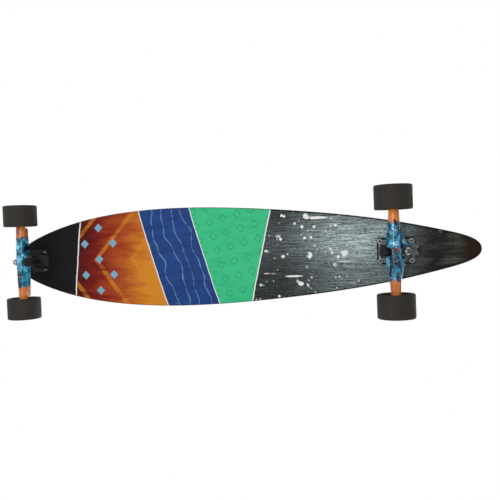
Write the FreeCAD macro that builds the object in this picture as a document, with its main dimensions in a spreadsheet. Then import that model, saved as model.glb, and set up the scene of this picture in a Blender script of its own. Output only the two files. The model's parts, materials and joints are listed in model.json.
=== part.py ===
import FreeCAD, Part
import math
import os
import Sketcher
from FreeCAD import Placement, Rotation, Vector

# A pintail longboard with reverse-kingpin trucks, standing on its wheels.
# X runs along the board with the nose at +X, Y to the board's left and Z up, with the origin on the ground
# under the middle of the deck. Lengths are millimetres and angles are degrees.

DECK_SIZES = {
    "deck_length": 1078,
    "deck_width": 224,
    "deck_thickness": 12,
    "deck_edge_round": 4,
    "deck_round_limit_share": 0.45,
    "deck_flat_width": 100,
    "deck_rail_lift": 4.5,
    "grip_thickness": 0.8,
    "grip_margin": 5.5,
    "nose_overhang": 56,
    "tail_overhang": 168,
}

MOUNTING_SIZES = {
    "riser_thickness": 3,
    "bolt_spacing_long": 63.5,
    "bolt_spacing_wide": 41.3,
    "bolt_diameter": 4.8,
    "bolt_head_diameter": 9.6,
    "bolt_head_height": 2.6,
    "bolt_head_clearance": 0.05,
    "bolt_hole_clearance": 0.3,
    "bolt_end_reach": 3,
    "lock_nut_flats": 9.5,
    "lock_nut_height": 6,
}

BASEPLATE_SIZES = {
    "plate_length": 77,
    "plate_width": 55,
    "plate_corner": 6.5,
    "plate_thickness": 5.5,
    "pad_diameter": 12.5,
    "pad_height": 1,
    "lug_length": 11,
    "lug_width": 21,
    "lug_corner": 5,
    "lug_thickness": 5,
    "lug_slot_length": 9,
    "lug_slot_width": 3.5,
    "plate_edge_round": 2,
    "wedge_round": 2.5,
    "wedge_width": 28,
    "wedge_toe": 5,
    "wedge_margin": 1,
    "kingpin_wall": 9,
    "kingpin_seat_reach": 13,
    "tower_wall": 2.6,
    "tower_round": 4,
    "tower_web_width": 18,
}

STEERING_SIZES = {
    "truck_angle": 45,
    "axle_drop": 57,
    "yoke_drop": 33,
    "hanger_rake": 9,
    "kingpin_diameter": 9.5,
    "kingpin_head_flats": 14.3,
    "kingpin_head_height": 5.5,
    "kingpin_head_room": 0.6,
    "kingpin_tip": 2,
    "kingpin_nut_flats": 14.3,
    "kingpin_nut_height": 7.5,
    "kingpin_collar_height": 2.5,
    "kingpin_collar_inset": 0.5,
    "bushing_diameter": 26,
    "boardside_bushing_height": 12.5,
    "roadside_bushing_height": 10.5,
    "roadside_bushing_tip": 21,
    "washer_thickness": 1.6,
    "washer_rim": 1.4,
    "washer_rim_height": 1.5,
    "seat_clearance": 0.15,
    "pivot_diameter": 11,
    "pivot_length": 10.5,
    "pivot_chamfer": 2.75,
    "pivot_clearance": 0.08,
    "pivot_gap": 0.8,
    "cup_wall": 1.8,
    "cup_clearance": 0.05,
}

HANGER_SIZES = {
    "hanger_length": 190,
    "hanger_middle_diameter": 25.5,
    "hanger_end_diameter": 19,
    "pivot_shoulder": 9.5,
    "pivot_recess_margin": 3,
    "yoke_diameter": 36,
    "yoke_height": 17,
    "yoke_web": 7,
    "yoke_hole_diameter": 14,
    "arm_thickness": 14,
    "arm_inset": 15,
    "arm_tip": 10,
    "arm_end_width": 8,
    "arm_reach": 11,
    "arm_neck": 28,
    "arm_round": 4,
    "yoke_round": 1.5,
    "stack_room": 1.6,
}

WHEEL_SIZES = {
    "axle_diameter": 8,
    "axle_end_reach": 2,
    "axle_nut_flats": 13,
    "axle_nut_height": 6.5,
    "speed_washer_diameter": 12,
    "speed_washer_thickness": 1,
    "wheel_diameter": 76,
    "wheel_width": 49,
    "tire_edge_round": 4,
    "tire_lip": 7.5,
    "hub_diameter": 42,
    "hub_width": 29,
    "hub_shoulder_diameter": 18.5,
    "bearing_diameter": 22,
    "bearing_width": 7,
    "bearing_gap": 10.3,
    "inner_race_diameter": 12,
    "spacer_diameter": 11.5,
    "outer_race_bore": 19,
    "shield_thickness": 0.5,
    "shield_inset": 0.5,
    "race_gap": 0.08,
    "axle_clearance": 0.05,
}

# How far a cutting shape runs past what it cuts.
CUTTING_SIZES = {
    "cut_overrun": 1,
}

# Sizes that follow from the ones above.
DERIVED_SIZES = {
    "rail_run": "(deck_width - deck_flat_width) / 2",
    "rail_radius": "(rail_run ^ 2 + deck_rail_lift ^ 2) / (2 * deck_rail_lift)",
    "edge_round": "min(deck_edge_round; deck_thickness * deck_round_limit_share)",
    "ground_to_plate": "wheel_diameter / 2 + axle_drop",
    "ground_to_deck": "ground_to_plate + riser_thickness",
    "lean_cos": "cos(truck_angle * 1 deg)",
    "lean_sin": "sin(truck_angle * 1 deg)",
    "yoke_to_axle": "(axle_drop - yoke_drop - hanger_rake * lean_cos) / lean_sin",
    "yoke_offset": "yoke_to_axle * lean_cos - hanger_rake * lean_sin",
    "seat_depth": "yoke_web / 2 + boardside_bushing_height + washer_thickness",
    "head_depth": "seat_depth + kingpin_wall",
    "nut_height_on_pin": "yoke_web / 2 + roadside_bushing_height + washer_thickness",
    "pivot_mouth": "yoke_to_axle + pivot_shoulder + pivot_gap",
    "pivot_tip": "yoke_to_axle + pivot_shoulder + pivot_length",
    "cup_end": "pivot_tip + pivot_clearance + cup_wall",
    "cup_diameter": "pivot_diameter + 2 * (pivot_clearance + cup_wall)",
    "tower_diameter": "cup_diameter + 2 * (cup_clearance + tower_wall)",
    "tower_end": "cup_end + tower_wall",
    "bolt_hole_diameter": "bolt_diameter + 2 * bolt_hole_clearance",
    "kingpin_bore": "kingpin_diameter + 2 * axle_clearance",
    "axle_bore": "axle_diameter + 2 * axle_clearance",
    "bushing_taper": "(bushing_diameter - roadside_bushing_tip) / 2",
    "washer_flare": "washer_rim_height * bushing_taper / roadside_bushing_height",
    "bolt_tip": "plate_thickness + pad_height + lock_nut_height + bolt_end_reach",
    "bolt_top": "riser_thickness + deck_thickness + grip_thickness",
    "shield_top": "bearing_width - shield_inset - shield_thickness",
    "bearing_stack": "2 * bearing_width + bearing_gap",
    "wheel_offset": "hanger_length / 2 + speed_washer_thickness + bearing_stack / 2",
    "wheel_stack": "bearing_stack + 2 * speed_washer_thickness + axle_nut_height + axle_end_reach",
    "axle_length": "hanger_length + 2 * wheel_stack",
    "arm_span": "hanger_length - 2 * arm_inset",
    "spindle_bulge": "(hanger_middle_diameter - hanger_end_diameter) / 2",
    "spindle_radius": "(hanger_length ^ 2 / 4 + spindle_bulge ^ 2) / (2 * spindle_bulge)",
}

# The deck's plan: the poles of a cubic curve from nose to tail, as shares of the deck's length and of its
# half width. The first two poles and the last two lie square to X, so the nose and tail tips are round.
OUTLINE_POLE_SHARES = [
    (0.0, 0.0),
    (0.0, 0.25),
    (0.06, 0.56),
    (0.19, 0.92),
    (0.38, 1.05),
    (0.6, 0.9),
    (0.8, 0.66),
    (0.94, 0.35),
    (1.0, 0.18),
    (1.0, 0.0),
]
OUTLINE_DEGREE = 3

# How near two lengths must be to count as the same when an edge is looked for.
SAME_LENGTH = 0.01

doc = FreeCAD.newDocument("longboard")
size = doc.addObject("Spreadsheet::Sheet", "size")
subparts = []


def fill_sheet():
    """Write every size to a row of the sheet: its name in column A, its value with the alias in column B."""
    rows = {}
    for sizes in (DECK_SIZES, MOUNTING_SIZES, BASEPLATE_SIZES, STEERING_SIZES, HANGER_SIZES, WHEEL_SIZES,
                  CUTTING_SIZES):
        rows.update({alias: str(number) for alias, number in sizes.items()})
    rows.update({alias: "=" + formula for alias, formula in DERIVED_SIZES.items()})
    for row, (alias, text) in enumerate(rows.items(), start=1):
        size.set("A%d" % row, alias)
        size.set("B%d" % row, text)
        size.setAlias("B%d" % row, alias)
    doc.recompute()


fill_sheet()


# Helpers that draw and combine shapes, with every size bound to the sheet.

def value(expression):
    """The number that an expression on the sheet's sizes comes to now."""
    return float(size.evalExpression(expression))


def new_body(name):
    """An empty body for one piece."""
    return doc.addObject("PartDesign::Body", name)


def new_sketch(body, name, plane, offset=("0", "0", "0")):
    """A sketch on one of the body's own planes, shifted by an offset in the plane's own directions."""
    sketch = body.newObject("Sketcher::SketchObject", body.Name + "_" + name)
    role = [feature for feature in body.Origin.OriginFeatures if feature.Role == plane][0]
    sketch.AttachmentSupport = [(role, "")]
    sketch.MapMode = "FlatFace"
    for direction, expression in zip("xyz", offset):
        if expression != "0":
            sketch.setExpression("AttachmentOffset.Base." + direction, expression)
    return sketch


def pin_point(sketch, geometry, point, x, y):
    """Hold a point of the sketch at two expressions, measured from the sketch's origin."""
    for kind, expression in (("DistanceX", x), ("DistanceY", y)):
        constraint = Sketcher.Constraint(kind, -1, 1, geometry, point, value(expression))
        index = sketch.addConstraint(constraint)
        if expression != "0":
            sketch.setExpression("Constraints[%d]" % index, expression)


def draw_outline(sketch, corners):
    """A closed outline of straight sides through corners given as pairs of expressions."""
    points = [Vector(value(x), value(y), 0) for x, y in corners]
    first = sketch.GeometryCount
    count = len(points)
    for index in range(count):
        sketch.addGeometry(Part.LineSegment(points[index], points[(index + 1) % count]), False)
    for index in range(count):
        following = first + (index + 1) % count
        sketch.addConstraint(Sketcher.Constraint("Coincident", first + index, 2, following, 1))
    for index, (x, y) in enumerate(corners):
        pin_point(sketch, first + index, 1, x, y)


def draw_circle(sketch, x, y, diameter):
    """A circle with its centre and diameter given as expressions."""
    middle = Vector(value(x), value(y), 0)
    index = sketch.addGeometry(Part.Circle(middle, Vector(0, 0, 1), value(diameter) / 2), False)
    pin_point(sketch, index, 3, x, y)
    constraint = sketch.addConstraint(Sketcher.Constraint("Diameter", index, value(diameter)))
    sketch.setExpression("Constraints[%d]" % constraint, diameter)


def pad(body, sketch, length, midplane=False):
    """Raise a sketch by a length, or by half of it to each side."""
    feature = body.newObject("PartDesign::Pad", sketch.Name + "_pad")
    feature.Profile = sketch
    feature.Midplane = midplane
    feature.setExpression("Length", length)
    sketch.Visibility = False
    doc.recompute()
    return feature


def pocket(body, sketch):
    """Cut a sketch right through the body, both ways."""
    before = body.Shape.Volume
    feature = body.newObject("PartDesign::Pocket", sketch.Name + "_pocket")
    feature.Profile = sketch
    feature.Type = "ThroughAll"
    feature.Midplane = True
    doc.recompute()
    if not body.Shape.Volume < before:
        raise RuntimeError(feature.Name + " cuts nothing")
    return feature


def turn(body, sketch, axis):
    """Turn a sketch into a solid of revolution about one of the sketch's own axes."""
    feature = body.newObject("PartDesign::Revolution", sketch.Name + "_turn")
    feature.Profile = sketch
    feature.ReferenceAxis = (sketch, [axis])
    feature.Angle = 360
    doc.recompute()
    return feature


def round_edges(body, chosen, radius):
    """Round the edges of the body's shape so far that a test picks out."""
    tip = body.Tip
    names = ["Edge%d" % (index + 1) for index, edge in enumerate(tip.Shape.Edges) if chosen(edge)]
    if not names:
        raise RuntimeError(body.Name + " has no such edge to round")
    feature = body.newObject("PartDesign::Fillet", body.Name + "_round%d" % len(body.Group))
    feature.Base = (tip, names)
    feature.setExpression("Radius", radius)
    doc.recompute()
    return feature


def primitive(kind, name, base=("0", "0", "0"), **sizes):
    """A Part primitive whose sizes and base point are expressions."""
    shape = doc.addObject("Part::" + kind, name)
    for sizing, expression in sizes.items():
        shape.setExpression(sizing, expression)
    for direction, expression in zip("xyz", base):
        if expression != "0":
            shape.setExpression("Placement.Base." + direction, expression)
    return shape


def cut(name, base, tool):
    """One shape less another."""
    result = doc.addObject("Part::Cut", name)
    result.Base = base
    result.Tool = tool
    return result


def fuse(name, shapes):
    """Several shapes joined into one solid."""
    result = doc.addObject("Part::MultiFuse", name)
    result.Shapes = shapes
    return result


def group(name, shapes):
    """Several separate solids kept together."""
    result = doc.addObject("Part::Compound", name)
    result.Links = shapes
    return result


def ring(name, outer, inner, height, base="0"):
    """A flat ring on Z from an outer and an inner diameter, standing at a height."""
    overrun = "size.cut_overrun"
    solid = primitive("Cylinder", name + "_outside", ("0", "0", base), Radius="(%s) / 2" % outer,
                      Height=height)
    bore = primitive("Cylinder", name + "_bore", ("0", "0", "(%s) - %s" % (base, overrun)),
                     Radius="(%s) / 2" % inner, Height="(%s) + 2 * %s" % (height, overrun))
    return cut(name, solid, bore)


def hex_nut(name, flats, bore, height, base="0"):
    """A hexagonal nut on Z from its width across flats."""
    overrun = "size.cut_overrun"
    solid = primitive("Prism", name + "_hex", ("0", "0", base), Circumradius="(%s) / sqrt(3)" % flats,
                      Height=height)
    hole = primitive("Cylinder", name + "_bore", ("0", "0", "(%s) - %s" % (base, overrun)),
                     Radius="(%s) / 2" % bore, Height="(%s) + 2 * %s" % (height, overrun))
    return cut(name, solid, hole)


def finish(piece, label, placement):
    """Name a finished piece, put it in its place on the board and keep it for the files."""
    piece.Label = label
    piece.Placement = placement
    subparts.append(piece)


# Places. A truck is drawn with its mounting face on Z = 0, X outboard and Z towards the road, and its
# steered pieces about the yoke's centre, with Z along the kingpin towards its nut and X to the pivot.

def truck_place(end):
    """Where a truck's own frame stands under the deck: turned over, its X towards its end of the board."""
    if end == "front":
        along = value("size.deck_length / 2 - size.nose_overhang")
        turned = Rotation(Vector(1, 0, 0), 180)
    else:
        along = value("size.tail_overhang - size.deck_length / 2")
        turned = Rotation(Vector(0, 1, 0), 180)
    return Placement(Vector(along, 0, value("size.ground_to_plate")), turned)


def yoke_place(end):
    """Where the yoke's frame stands: at the kingpin's middle, leaning outboard by the truck's angle."""
    lean = Rotation(Vector(0, 1, 0), value("size.truck_angle"))
    flip = Rotation(Vector(0, 0, 1), 180)
    here = Placement(Vector(value("size.yoke_offset"), 0, value("size.yoke_drop")), lean * flip)
    return truck_place(end) * here


def axle_place(end, side=0):
    """Where an axle's frame stands: Z along the axle to the board's left, moved out to a side's wheel."""
    centre = truck_place(end).multVec(Vector(0, 0, value("size.axle_drop")))
    outward = Vector(0, side * value("size.wheel_offset"), 0)
    return Placement(centre + outward, Rotation(Vector(1, 0, 0), -90))


BOLT_CORNERS = [(1, 1), (1, -1), (-1, 1), (-1, -1)]


def bolt_place(corner):
    """The expressions of one bolt's place on the mounting face."""
    return "%d * size.bolt_spacing_long / 2" % corner[0], "%d * size.bolt_spacing_wide / 2" % corner[1]


# The deck and its grip tape.

def half_outline(inset):
    """One long edge of the deck's plan, from nose to tail, drawn in by an inset from the deck's edge."""
    length = value("size.deck_length") - 2 * inset
    half = value("size.deck_width") / 2 - inset
    poles = [Vector(length * (0.5 - along), half * across, 0) for along, across in OUTLINE_POLE_SHARES]
    spans = len(poles) - OUTLINE_DEGREE
    repeats = [OUTLINE_DEGREE + 1] + [1] * (spans - 1) + [OUTLINE_DEGREE + 1]
    curve = Part.BSplineCurve()
    curve.buildFromPolesMultsKnots(poles, repeats, list(range(spans + 1)), False, OUTLINE_DEGREE)
    return curve.toShape()


def plan_prism(inset, bottom, top):
    """An upright prism of the deck's plan between two heights."""
    left = half_outline(inset)
    right = left.mirror(Vector(0, 0, 0), Vector(0, 1, 0))
    face = Part.Face(Part.Wire([left, right]))
    face.translate(Vector(0, 0, bottom))
    return face.extrude(Vector(0, 0, top - bottom))


def pressed_blank(bottom, top):
    """A pressed sheet, flat along the board: a flat middle, and rails that curve up on concentric arcs."""
    flat = value("size.deck_flat_width") / 2
    run = value("size.rail_run")
    middle = value("size.rail_radius")
    half_length = value("size.deck_length") / 2
    base = value("size.ground_to_deck")
    sweep = math.asin((run + value("size.deck_thickness")) / middle)

    def rail_point(height, side, share):
        """A point of the rail's arc at a height, some share of the way up it."""
        radius = middle - (height - base)
        turned = sweep * share
        across = flat + radius * math.sin(turned)
        return Vector(half_length, side * across, height + radius * (1 - math.cos(turned)))

    def layer(height):
        """The line across the board at a height: rail, flat middle, rail."""
        ends = [rail_point(height, side, 0) for side in (-1, 1)]
        edges = [Part.LineSegment(ends[0], ends[1]).toShape()]
        for side, end in zip((-1, 1), ends):
            arc = Part.Arc(end, rail_point(height, side, 0.5), rail_point(height, side, 1))
            edges.append(arc.toShape())
        return edges

    sides = []
    for side in (-1, 1):
        sides.append(Part.LineSegment(rail_point(bottom, side, 1), rail_point(top, side, 1)).toShape())
    outline = Part.Wire(Part.__sortEdges__(layer(bottom) + layer(top) + sides))
    return Part.Face(outline).extrude(Vector(-2 * half_length, 0, 0))


def bolt_holes(name, bottom, height, diameter):
    """Upright cylinders through the deck at every mounting bolt."""
    holes = []
    for end in ("front", "rear"):
        for index, corner in enumerate(BOLT_CORNERS):
            hole = primitive("Cylinder", "%s_%s_%d" % (name, end, index), Radius="(%s) / 2" % diameter,
                             Height=height)
            x, y = (value(expression) for expression in bolt_place(corner))
            place = truck_place(end).multVec(Vector(x, y, 0))
            hole.Placement = Placement(Vector(place.x, place.y, value(bottom)), Rotation())
            holes.append(hole)
    return group(name, holes)


def bolt_cone(name, base, clearance):
    """The countersunk cone of a bolt head, in the truck's frame, widened by a clearance."""
    return primitive("Cone", name, base, Radius1="size.bolt_head_diameter / 2 + %s" % clearance,
                     Radius2="size.bolt_diameter / 2 + %s" % clearance, Height="size.bolt_head_height")


def is_rim(edge):
    """Whether an edge runs round the deck's plan: neither an upright seam nor a line along the board."""
    box = edge.BoundBox
    upright = box.ZLength > max(box.XLength, box.YLength)
    along_board = box.YLength < SAME_LENGTH
    return not upright and not along_board


def make_deck():
    """The plywood deck: the pressed sheet cut to its plan, with rounded edges and countersunk holes."""
    bottom = value("size.ground_to_deck")
    thickness = value("size.deck_thickness")
    lift = value("size.deck_rail_lift")
    blank = pressed_blank(bottom, bottom + thickness)
    shape = blank.common(plan_prism(0, bottom - lift, bottom + thickness + 2 * lift))
    rims = [edge for edge in shape.Edges if is_rim(edge)]
    rounded = shape.makeFillet(value("size.edge_round"), rims)
    board = doc.addObject("Part::Feature", "deck_board")
    board.Shape = rounded.Solids[0]

    holes = bolt_holes("deck_holes", "size.ground_to_deck - size.deck_rail_lift",
                       "size.deck_thickness + 2 * size.deck_rail_lift", "size.bolt_hole_diameter")
    sinks = []
    for end in ("front", "rear"):
        for index, corner in enumerate(BOLT_CORNERS):
            x, y = bolt_place(corner)
            sink = bolt_cone("deck_sink_%s_%d" % (end, index), ("0", "0", "0"), "size.bolt_head_clearance")
            local = Vector(value(x), value(y), -value("size.bolt_top"))
            sink.Placement = truck_place(end) * Placement(local, Rotation())
            sinks.append(sink)
    drilled = cut("deck_drilled", board, holes)
    finish(cut("deck", drilled, group("deck_sinks", sinks)), "deck", Placement())


def make_grip_tape():
    """The grip tape: a thin sheet on the deck's top, set in from its edge, with a hole at each bolt."""
    bottom = value("size.ground_to_deck + size.deck_thickness")
    thickness = value("size.grip_thickness")
    lift = value("size.deck_rail_lift")
    sheet = doc.addObject("Part::Feature", "grip_sheet")
    prism = plan_prism(value("size.grip_margin"), bottom - lift, bottom + thickness + 2 * lift)
    sheet.Shape = pressed_blank(bottom, bottom + thickness).common(prism).Solids[0]
    holes = bolt_holes("grip_holes", "size.ground_to_deck", "size.deck_thickness + 2 * size.deck_rail_lift",
                       "size.bolt_head_diameter + 2 * size.bolt_hole_clearance")
    finish(cut("grip_tape", sheet, holes), "grip_tape", Placement())


# The pieces bolted under each end of the deck.

# Where the wedge and the web of a baseplate start, inboard.
WEDGE_TOE = "-size.plate_length / 2 + size.wedge_toe"


def plate_outline(sketch):
    """The rectangle of a baseplate's flange, centred on the bolt pattern."""
    half_x = "size.plate_length / 2"
    half_y = "size.plate_width / 2"
    draw_outline(sketch, [("-" + half_x, "-" + half_y), (half_x, "-" + half_y), (half_x, half_y),
                          ("-" + half_x, half_y)])


def upright_corner(edge):
    """Whether an edge stands upright at a corner of the flange's rectangle."""
    middle = edge.CenterOfMass
    at_corner = abs(abs(middle.x) - value("size.plate_length / 2")) < SAME_LENGTH
    at_side = abs(abs(middle.y) - value("size.plate_width / 2")) < SAME_LENGTH
    upright = max(edge.BoundBox.XLength, edge.BoundBox.YLength) < SAME_LENGTH
    return at_corner and at_side and upright


def road_rim(edge):
    """Whether an edge lies all round the flange's face on the road's side."""
    box = edge.BoundBox
    return box.ZLength < SAME_LENGTH and abs(box.ZMax - value("size.plate_thickness")) < SAME_LENGTH


def wedge_shoulder(edge):
    """Whether an edge of the wedge slopes from its toe up to the bushing's seat, along either side."""
    box = edge.BoundBox
    slopes = min(box.XLength, box.ZLength) > SAME_LENGTH
    return slopes and box.YLength < SAME_LENGTH and abs(box.XMin - value(WEDGE_TOE)) < SAME_LENGTH


def drill_bolts(body):
    """Drill the four mounting holes through a flat piece in the truck's frame."""
    sketch = new_sketch(body, "bolts", "XY_Plane")
    for corner in BOLT_CORNERS:
        draw_circle(sketch, *bolt_place(corner), "size.bolt_hole_diameter")
    pocket(body, sketch)


def make_riser_pad(end):
    """The thin rubber pad between the baseplate and the deck, cut to the flange's outline."""
    body = new_body(end + "_riser_pad")
    sketch = new_sketch(body, "outline", "XY_Plane", ("0", "0", "-size.riser_thickness"))
    plate_outline(sketch)
    pad(body, sketch, "size.riser_thickness")
    round_edges(body, upright_corner, "size.plate_corner")
    drill_bolts(body)
    finish(body, end + "_riser_pad", truck_place(end))


def tilted(along, up):
    """A point of the side view, by its distances from the yoke along the pivot's line and the kingpin."""
    x = "size.yoke_offset - (%s) * size.lean_cos + (%s) * size.lean_sin" % (along, up)
    z = "size.yoke_drop + (%s) * size.lean_sin + (%s) * size.lean_cos" % (along, up)
    return x, z


def tilted_cylinder(name, along, up, diameter, length, turn_to_pivot):
    """A cylinder in the truck's frame from a tilted point, along the pivot's line or up the kingpin."""
    x, z = tilted(along, up)
    shape = primitive("Cylinder", name, (x, "0", z), Radius="(%s) / 2" % diameter, Height=length)
    angle = "size.truck_angle - 90" if turn_to_pivot else "size.truck_angle"
    shape.Placement.Rotation = Rotation(Vector(0, 1, 0), value(angle))
    return shape


def far_circle(shape):
    """The number of the round edge of a tilted cylinder that lies nearest the road."""
    numbered = enumerate(shape.Edges, start=1)
    rounds = [(edge.CenterOfMass.z, number) for number, edge in numbered if edge.isClosed()]
    return max(rounds)[1]


def make_baseplate(end):
    """The cast baseplate: a flange with bolt pads and an outboard lug, a wedge that seats the boardside
    bushing square to the kingpin, and a web whose tower holds the pivot cup in line with the yoke."""
    body = new_body(end + "_baseplate_casting")
    flange = new_sketch(body, "flange", "XY_Plane")
    plate_outline(flange)
    pad(body, flange, "size.plate_thickness")
    round_edges(body, upright_corner, "size.plate_corner")
    round_edges(body, road_rim, "size.plate_edge_round")

    pads = new_sketch(body, "pads", "XY_Plane")
    for corner in BOLT_CORNERS:
        draw_circle(pads, *bolt_place(corner), "size.pad_diameter")
    pad(body, pads, "size.plate_thickness + size.pad_height")

    lug = new_sketch(body, "lug", "XY_Plane")
    lug_end = "size.plate_length / 2 + size.lug_length"
    lug_side = "size.lug_width / 2"
    lug_flat = "(size.lug_width / 2 - size.lug_corner)"
    lug_neck = lug_end + " - size.lug_corner"
    draw_outline(lug, [("0", "-" + lug_side), (lug_neck, "-" + lug_side), (lug_end, "-" + lug_flat),
                       (lug_end, lug_flat), (lug_neck, lug_side), ("0", lug_side)])
    pad(body, lug, "size.lug_thickness")
    slot = new_sketch(body, "lug_slot", "XY_Plane")
    slot_near = "size.plate_length / 2 + size.lug_length / 2 - size.lug_slot_width / 2"
    slot_far = "size.plate_length / 2 + size.lug_length / 2 + size.lug_slot_width / 2"
    slot_side = "size.lug_slot_length / 2"
    draw_outline(slot, [(slot_near, "-" + slot_side), (slot_far, "-" + slot_side),
                        (slot_far, slot_side), (slot_near, slot_side)])
    pocket(body, slot)

    tower_radius = "size.tower_diameter / 2"
    seat_up = "-size.seat_depth"
    seat_top = tilted("size.bushing_diameter / 2 + size.washer_rim + size.wedge_margin", seat_up)
    seat_foot = tilted("-size.kingpin_seat_reach", seat_up)
    web = new_sketch(body, "web", "XZ_Plane")
    web_end = "size.tower_end - size.tower_round"
    draw_outline(web, [(WEDGE_TOE, "0"), (WEDGE_TOE, "size.plate_thickness"),
                       tilted(web_end, "-" + tower_radius), tilted(web_end, "0"),
                       tilted("size.pivot_mouth", "0"), tilted("size.pivot_mouth", "-" + tower_radius),
                       seat_top, (seat_top[0], "0")])
    pad(body, web, "size.tower_web_width", midplane=True)
    drill_bolts(body)

    name = end + "_baseplate"
    wedge = new_body(name + "_wedge")
    side_view = new_sketch(wedge, "side_view", "XZ_Plane")
    draw_outline(side_view, [(WEDGE_TOE, "0"), (WEDGE_TOE, "size.plate_thickness"), seat_top, seat_foot,
                             (seat_foot[0], "0")])
    pad(wedge, side_view, "size.wedge_width", midplane=True)
    round_edges(wedge, wedge_shoulder, "size.wedge_round")
    boss = tilted_cylinder(name + "_boss", "size.pivot_mouth", "0", "size.tower_diameter",
                           "size.tower_end - size.pivot_mouth", True)
    rounded = doc.addObject("Part::Fillet", name + "_boss_round")
    rounded.Base = boss
    doc.recompute()
    far_rim = far_circle(boss.Shape)
    rounded.Edges = [(far_rim, value("size.tower_round"), value("size.tower_round"))]
    casting = fuse(name + "_cast", [body, wedge, rounded])
    cup_bore = tilted_cylinder(name + "_cup_bore", "size.pivot_mouth - size.pivot_gap", "0",
                               "size.cup_diameter + 2 * size.cup_clearance",
                               "size.cup_end - size.pivot_mouth + size.pivot_gap", True)
    pin_bore = tilted_cylinder(name + "_pin_bore", "0", "-size.head_depth - size.kingpin_wall",
                               "size.kingpin_bore",
                               "size.head_depth + size.kingpin_wall", False)
    head_room = tilted_cylinder(name + "_head_room", "0", "-size.head_depth - 2 * size.seat_depth",
                                "2 * size.kingpin_head_flats / sqrt(3) + 2 * size.kingpin_head_room",
                                "2 * size.seat_depth", False)
    tools = fuse(name + "_tools", [cup_bore, pin_bore, head_room])
    finish(cut(name, casting, tools), name, truck_place(end))


def make_mounting_bolts(end):
    """Four countersunk bolts, flush with the grip tape, and the four lock nuts under the flange."""
    bolts = []
    nuts = []
    for index, corner in enumerate(BOLT_CORNERS):
        x, y = bolt_place(corner)
        name = "%s_mounting_%d" % (end, index)
        top = (x, y, "-size.bolt_top")
        shank = primitive("Cylinder", name + "_shank", top, Radius="size.bolt_diameter / 2",
                          Height="size.bolt_top + size.bolt_tip")
        bolts.append(fuse(name + "_bolt", [shank, bolt_cone(name + "_head", top, "0")]))
        nut = hex_nut(name + "_nut", "size.lock_nut_flats", "size.bolt_diameter + 2 * size.axle_clearance",
                      "size.lock_nut_height")
        nut.setExpression("Placement.Base.x", x)
        nut.setExpression("Placement.Base.y", y)
        nut.setExpression("Placement.Base.z", "size.plate_thickness + size.pad_height")
        nuts.append(nut)
    finish(group(end + "_mounting_bolts", bolts), end + "_mounting_bolts", truck_place(end))
    finish(group(end + "_mounting_nuts", nuts), end + "_mounting_nuts", truck_place(end))


# The steering stack on each kingpin, in the yoke's frame.

def make_kingpin(end):
    """The kingpin: a hexagonal head under the baseplate's wall and a shank out through both bushings."""
    name = end + "_kingpin"
    head = primitive("Prism", name + "_head", ("0", "0", "-size.head_depth - size.kingpin_head_height"),
                     Circumradius="size.kingpin_head_flats / sqrt(3)", Height="size.kingpin_head_height")
    reach = "size.head_depth + size.nut_height_on_pin + size.kingpin_nut_height + size.kingpin_tip"
    shank = primitive("Cylinder", name + "_shank", ("0", "0", "-size.head_depth"),
                      Radius="size.kingpin_diameter / 2", Height=reach)
    finish(fuse(name, [head, shank]), name, yoke_place(end))

    nut_bore = "size.kingpin_bore"
    nut = hex_nut(end + "_kingpin_hex", "size.kingpin_nut_flats", nut_bore,
                  "size.kingpin_nut_height - size.kingpin_collar_height", "size.nut_height_on_pin")
    collar_diameter = "size.kingpin_nut_flats - 2 * size.kingpin_collar_inset"
    collar = ring(end + "_kingpin_collar", collar_diameter, nut_bore, "size.kingpin_collar_height",
                  "size.nut_height_on_pin + size.kingpin_nut_height - size.kingpin_collar_height")
    finish(fuse(end + "_kingpin_nut", [nut, collar]), end + "_kingpin_nut", yoke_place(end))


def make_bushing(end, side):
    """A urethane bushing, seated in the yoke: a barrel on the board's side, a cone on the road's side."""
    label = "%s_%s_bushing" % (end, side)
    body = new_body(label)
    profile = new_sketch(body, "profile", "XZ_Plane")
    inner = "size.kingpin_diameter / 2 + size.seat_clearance"
    seat = "size.bushing_diameter / 2"
    sign = "-1 * " if side == "boardside" else ""
    tip = seat if side == "boardside" else "size.roadside_bushing_tip / 2"
    near = sign + "(size.yoke_web / 2)"
    far = sign + "(size.yoke_web / 2 + size.%s_bushing_height)" % side
    draw_outline(profile, [(inner, near), (seat, near), (tip, far), (inner, far)])
    turn(body, profile, "V_Axis")
    finish(body, label, yoke_place(end))


def make_cup_washer(end, side):
    """A cup washer: a disc under the bushing's outer end with a rim round it."""
    label = "%s_%s_washer" % (end, side)
    body = new_body(label)
    profile = new_sketch(body, "profile", "XZ_Plane")
    sign = "-1 * " if side == "boardside" else ""
    width = "size.bushing_diameter" if side == "boardside" else "size.roadside_bushing_tip"
    inner = "size.kingpin_diameter / 2 + size.axle_clearance"
    bush = "size.yoke_web / 2 + size.%s_bushing_height" % side
    flare = "0" if side == "boardside" else "size.washer_flare"
    wall = "%s / 2 + size.seat_clearance" % width
    under = sign + "(%s)" % bush
    lip = sign + "(%s - size.washer_rim_height)" % bush
    back = sign + "(%s + size.washer_thickness)" % bush
    outside = wall + " + size.washer_rim"
    draw_outline(profile, [(inner, under), (wall, under), (wall + " + " + flare, lip),
                           (outside + " + " + flare, lip), (outside, back), (inner, back)])
    turn(body, profile, "V_Axis")
    finish(body, label, yoke_place(end))


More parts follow.
